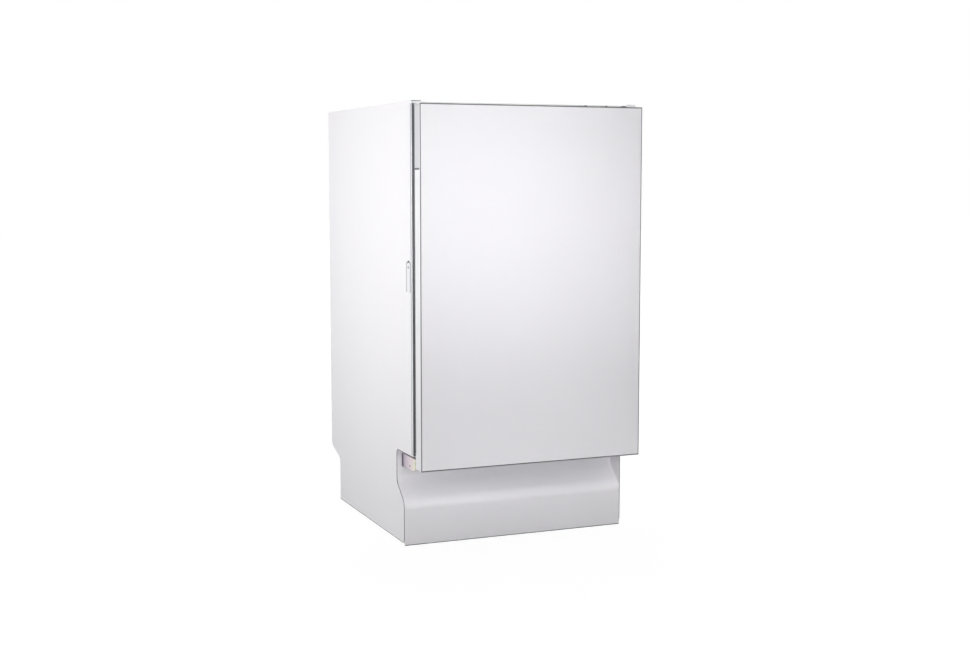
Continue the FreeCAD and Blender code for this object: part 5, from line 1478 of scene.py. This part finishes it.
    def basket(self) -> None:
        """The cutlery basket: open walls and dividers under a solid rim, with a handle."""
        piece = Piece("cutlery_basket_lattice")
        low, high = Vector(self.basket_low), Vector(self.basket_high)
        piece.join(self.basket_walls(low, high))
        half, inset = self.divider_half, self.divider_inset
        for y in spread(low.y, high.y, self.basket_cells + 1)[1:-1]:
            piece.box((low.x + inset, y - half, low.z + inset),
                      (high.x - inset, y + half, high.z - self.divider_drop), 0.5)
        for z, radius in ((high.z - self.rim_drop, self.rim), (low.z + self.sole_rise, self.sole)):
            piece.wires([loop((low.x, high.x), (low.y, high.y), z)], radius, self.basket_bend,
                        closed=True, sides=3)
        x, middle = (low.x + high.x) / 2, (low.y + high.y) / 2
        near, far = middle - self.handle_half, middle + self.handle_half
        foot, top = high.z - self.wall_drop, high.z + self.handle_rise
        piece.wires([[(x, near, foot), (x, near, top), (x, far, top), (x, far, foot)]],
                    self.handle, self.handle_bend, sides=3)
        piece.done("lower_rack", "part_grey", "cutlery_basket")

    def basket_walls(self, low: Vector, high: Vector) -> Piece:
        """The basket's floor and walls as an open lattice.

        Args:
            low: the basket's lower corner.
            high: its upper corner.

        Returns:
            The unfinished shape.
        """
        walls = Piece("walls")
        walls.box(self.basket_low, (high.x, high.y, high.z - self.wall_drop))
        top = [face for face in walls.bm.faces if face.normal.z > 0.9]
        bmesh.ops.delete(walls.bm, geom=top, context="FACES")
        for axis, step in enumerate(self.basket_mesh):
            across = tuple(float(index == axis) for index in range(3))
            count = int((high[axis] - low[axis]) / step)
            for index in range(1, count):
                place = [0.0, 0.0, 0.0]
                place[axis] = low[axis] + index * (high[axis] - low[axis]) / count
                walls.cut(tuple(place), across)
        walls.lattice(self.basket_bar)
        return walls

    def upper_rack(self) -> None:
        """The upper rack's wires, its rail runners, water channel and shelf clips."""
        rack = self.upper
        rack.wires().done("upper_rack", "wire_coat", "upper_rack")
        blocks = Piece("upper_rack_blocks")
        inner, outer = self.runner_sides
        deep, tall = self.runner_half
        for sign in SIDES.values():
            for y in self.runner_rows:
                blocks.box((inner * sign, y - deep, self.rail_z - tall),
                           (outer * sign, y + deep, self.rail_z + tall), 2.0, 3)
        deep, tall = self.shelf_clip_half
        posts = rack.posts()
        for y in (posts[1], posts[-2]):
            blocks.box((self.shelf_clip, y - deep, self.shelf_z - tall),
                       (self.shelf_x + deep, y + deep, self.shelf_z + tall), 1.6, 3)
        blocks.box(*self.channel, 3.5, 4)
        blocks.turned(self.ARM_HUB, self.hub)
        blocks.done("upper_rack", "part_grey")
        rack.grip()

    def cup_shelf(self) -> None:
        """The folding cup shelf between its hinge rod and its outer rod."""
        piece = Piece("cup_shelf_wires")
        posts = self.upper.posts()
        near, far, z = self.shelf_x, self.shelf_x + self.shelf_reach, self.shelf_z
        piece.wires([loop((near, far), (posts[0], posts[-1]), z)], self.shelf_rim,
                    self.shelf_bend, closed=True, sides=3)
        piece.wires([[(near, y, z), (far, y, z)] for before, after in zip(posts, posts[1:])
                     for y in ((before * 3 + after) / 4, (before + after * 3) / 4)],
                    self.shelf_wire)
        piece.done("cup_shelf", "wire_coat", "cup_shelf")


@dataclass
class Lamp:
    """One soft studio lamp."""

    name: str
    place: Point
    aim: Point
    width: float
    power: float
    beam: float = 180.0
    height: float = 0.0

    def build(self) -> None:
        """Hangs the lamp."""
        data = bpy.data.lights.new(self.name, "AREA")
        data.shape = "RECTANGLE"
        data.size = self.width
        data.size_y = self.height or self.width
        data.energy = self.power
        data.spread = math.radians(self.beam)
        holder = put_in_scene(self.name, data)
        holder.location = self.place
        direction = Vector(self.aim) - Vector(self.place)
        holder.rotation_euler = direction.to_track_quat("-Z", "Y").to_euler()


@dataclass
class Studio:
    """The pale floor, the soft lamps, the white surround and the camera."""

    lamps: tuple[Lamp, ...] = (
        Lamp("left_low_lamp", (-2.0, -1.7, 0.5), (0, -0.1, 0.45), 1.2, 17.8),
        Lamp("left_rear_lamp", (-1.6, 0.6, 1.2), (0, -0.1, 0.45), 0.8, 4.95),
        Lamp("left_side_lamp", (-2.0, 0.2, 0.9), (-0.224, 0.0, 0.6), 0.6, 1.14, 50),
        Lamp("front_lamp", (-0.3, -2.4, 0.9), (0, -0.27, 0.5), 1.2, 2.22),
        Lamp("front_spot", (-0.3, -2.6, 1.2), (0, -0.27, 0.62), 0.5, 0.516, 26),
        Lamp("front_left_spot", (-1.3, -2.2, 0.8), (-0.05, -0.27, 0.55), 0.5, 0.388, 28),
        Lamp("upper_left_spot", (-0.9, -1.5, 1.1), (-0.1, -0.27, 0.72), 0.4, 0.205, 36),
        Lamp("kick_beam", (0, -2.0, 0.95), (0, -0.19, 0.06), 1.8, 0.0817, 9, 0.2),
        Lamp("kick_lamp", (0, -1.8, 0.45), (0, -0.19, 0.07), 1.8, 0.172, 14, 0.2),
        Lamp("kick_strip", (0, -0.5, 0.02), (0, -0.165, 0.1), 0.7, 0.0144, 12, 0.02),
        Lamp("rear_lamp", (0.5, 2.4, 1.5), (0, 0, 0.4), 1.4, 22),
        Lamp("right_lamp", (2.5, 0.3, 1.2), (0, 0, 0.4), 1.4, 18),
        Lamp("top_lamp", (0.0, 0.1, 2.8), (0, 0, 0.5), 1.6, 12),
    )
    surround: float = 0.25
    floor_half: float = 14.0
    floor_tone: float = 0.25
    floor_roughness: float = 0.9
    floor_glow: Pair = (1.19, 1.25)
    floor_reach: Pair = (0.5, 1.8)
    floor_share: float = 0.8
    camera_place: Point = (-1.08026, -2.64198, 0.67812)
    camera_turn: Point = (math.pi / 2 - 0.10135, 0.0, -0.39363)
    lens: float = 53.033
    sensor: float = 36.0

    def build(self) -> None:
        """Sets up light, floor and camera."""
        bpy.context.scene.view_settings.view_transform = "Standard"
        for lamp in self.lamps:
            lamp.build()
        self.world()
        self.floor()
        camera = bpy.data.cameras.new("photo_camera")
        camera.lens = self.lens
        camera.sensor_width = self.sensor
        holder = put_in_scene("photo_camera", camera)
        holder.location = self.camera_place
        holder.rotation_euler = self.camera_turn
        bpy.context.scene.camera = holder

    @staticmethod
    def seen_directly(nodes: Nodes) -> Socket:
        """A mask of the rays that show the background: camera, glossy and transmission.

        Args:
            nodes: the node tree to add to.

        Returns:
            The mask socket.
        """
        path = nodes.add("ShaderNodeLightPath")
        mask = path.outputs["Is Camera Ray"]
        for name in ("Is Glossy Ray", "Is Transmission Ray"):
            mask = nodes.maths("MAXIMUM", mask, path.outputs[name])
        return mask

    def world(self) -> None:
        """A white surround that lights the machine only softly."""
        world = bpy.data.worlds.new("white_surround")
        bpy.context.scene.world = world
        world.use_nodes = True
        nodes = Nodes(world.node_tree)
        background = world.node_tree.nodes["Background"]
        background.inputs["Color"].default_value = (1, 1, 1, 1)
        level = nodes.span(self.seen_directly(nodes), UNIT, (self.surround, 1.0))
        nodes.feed(background.inputs["Strength"], level)

    def floor(self) -> None:
        """A pale floor that shows white and keeps a faint shadow."""
        bm = bmesh.new()
        bmesh.ops.create_grid(bm, x_segments=1, y_segments=1, size=self.floor_half)
        mesh = bpy.data.meshes.new("pale_floor")
        bm.to_mesh(mesh)
        bm.free()
        holder = put_in_scene("pale_floor", mesh)
        material = bpy.data.materials.new("pale_floor")
        mesh.materials.append(material)
        material.use_nodes = True
        nodes = Nodes(material.node_tree)
        plain = material.node_tree.nodes["Principled BSDF"]
        nodes.feed(plain.inputs["Base Color"], (self.floor_tone,) * 3)
        plain.inputs["Roughness"].default_value = self.floor_roughness
        glow = nodes.add("ShaderNodeEmission")
        away = nodes.add("ShaderNodeVectorMath", operation="LENGTH")
        nodes.feed(away.inputs[0], nodes.add("ShaderNodeTexCoord").outputs["Object"])
        level = nodes.span(away.outputs["Value"], self.floor_reach, self.floor_glow)
        nodes.feed(glow.inputs["Strength"], level)
        mix = nodes.add("ShaderNodeMixShader")
        share = nodes.maths("MULTIPLY", self.seen_directly(nodes), self.floor_share)
        nodes.feed(mix.inputs[0], share)
        nodes.feed(mix.inputs[1], plain.outputs[0])
        nodes.feed(mix.inputs[2], glow.outputs[0])
        nodes.feed(material.node_tree.nodes["Material Output"].inputs["Surface"], mix.outputs[0])


def main() -> None:
    """Builds the machine's sub-assemblies in order and sets up the studio."""
    logging.basicConfig(level=logging.INFO, format="%(message)s")
    lower = WireRack("lower_rack", 186.0, 214.3, (279.8, 345.3), 8, 8, (316.0, 352.0))
    upper = WireRack("upper_rack", 176.0, 545.0, (611.0, 650.0), 8, 7, (618.0, 656.0))
    for assembly in (Cabinet(), Base(), Tub(), Racks(lower, upper), Door()):
        LOG.info("building %s", type(assembly).__name__)
        assembly.build()
    Studio().build()


if __name__ == "__main__":
    main()
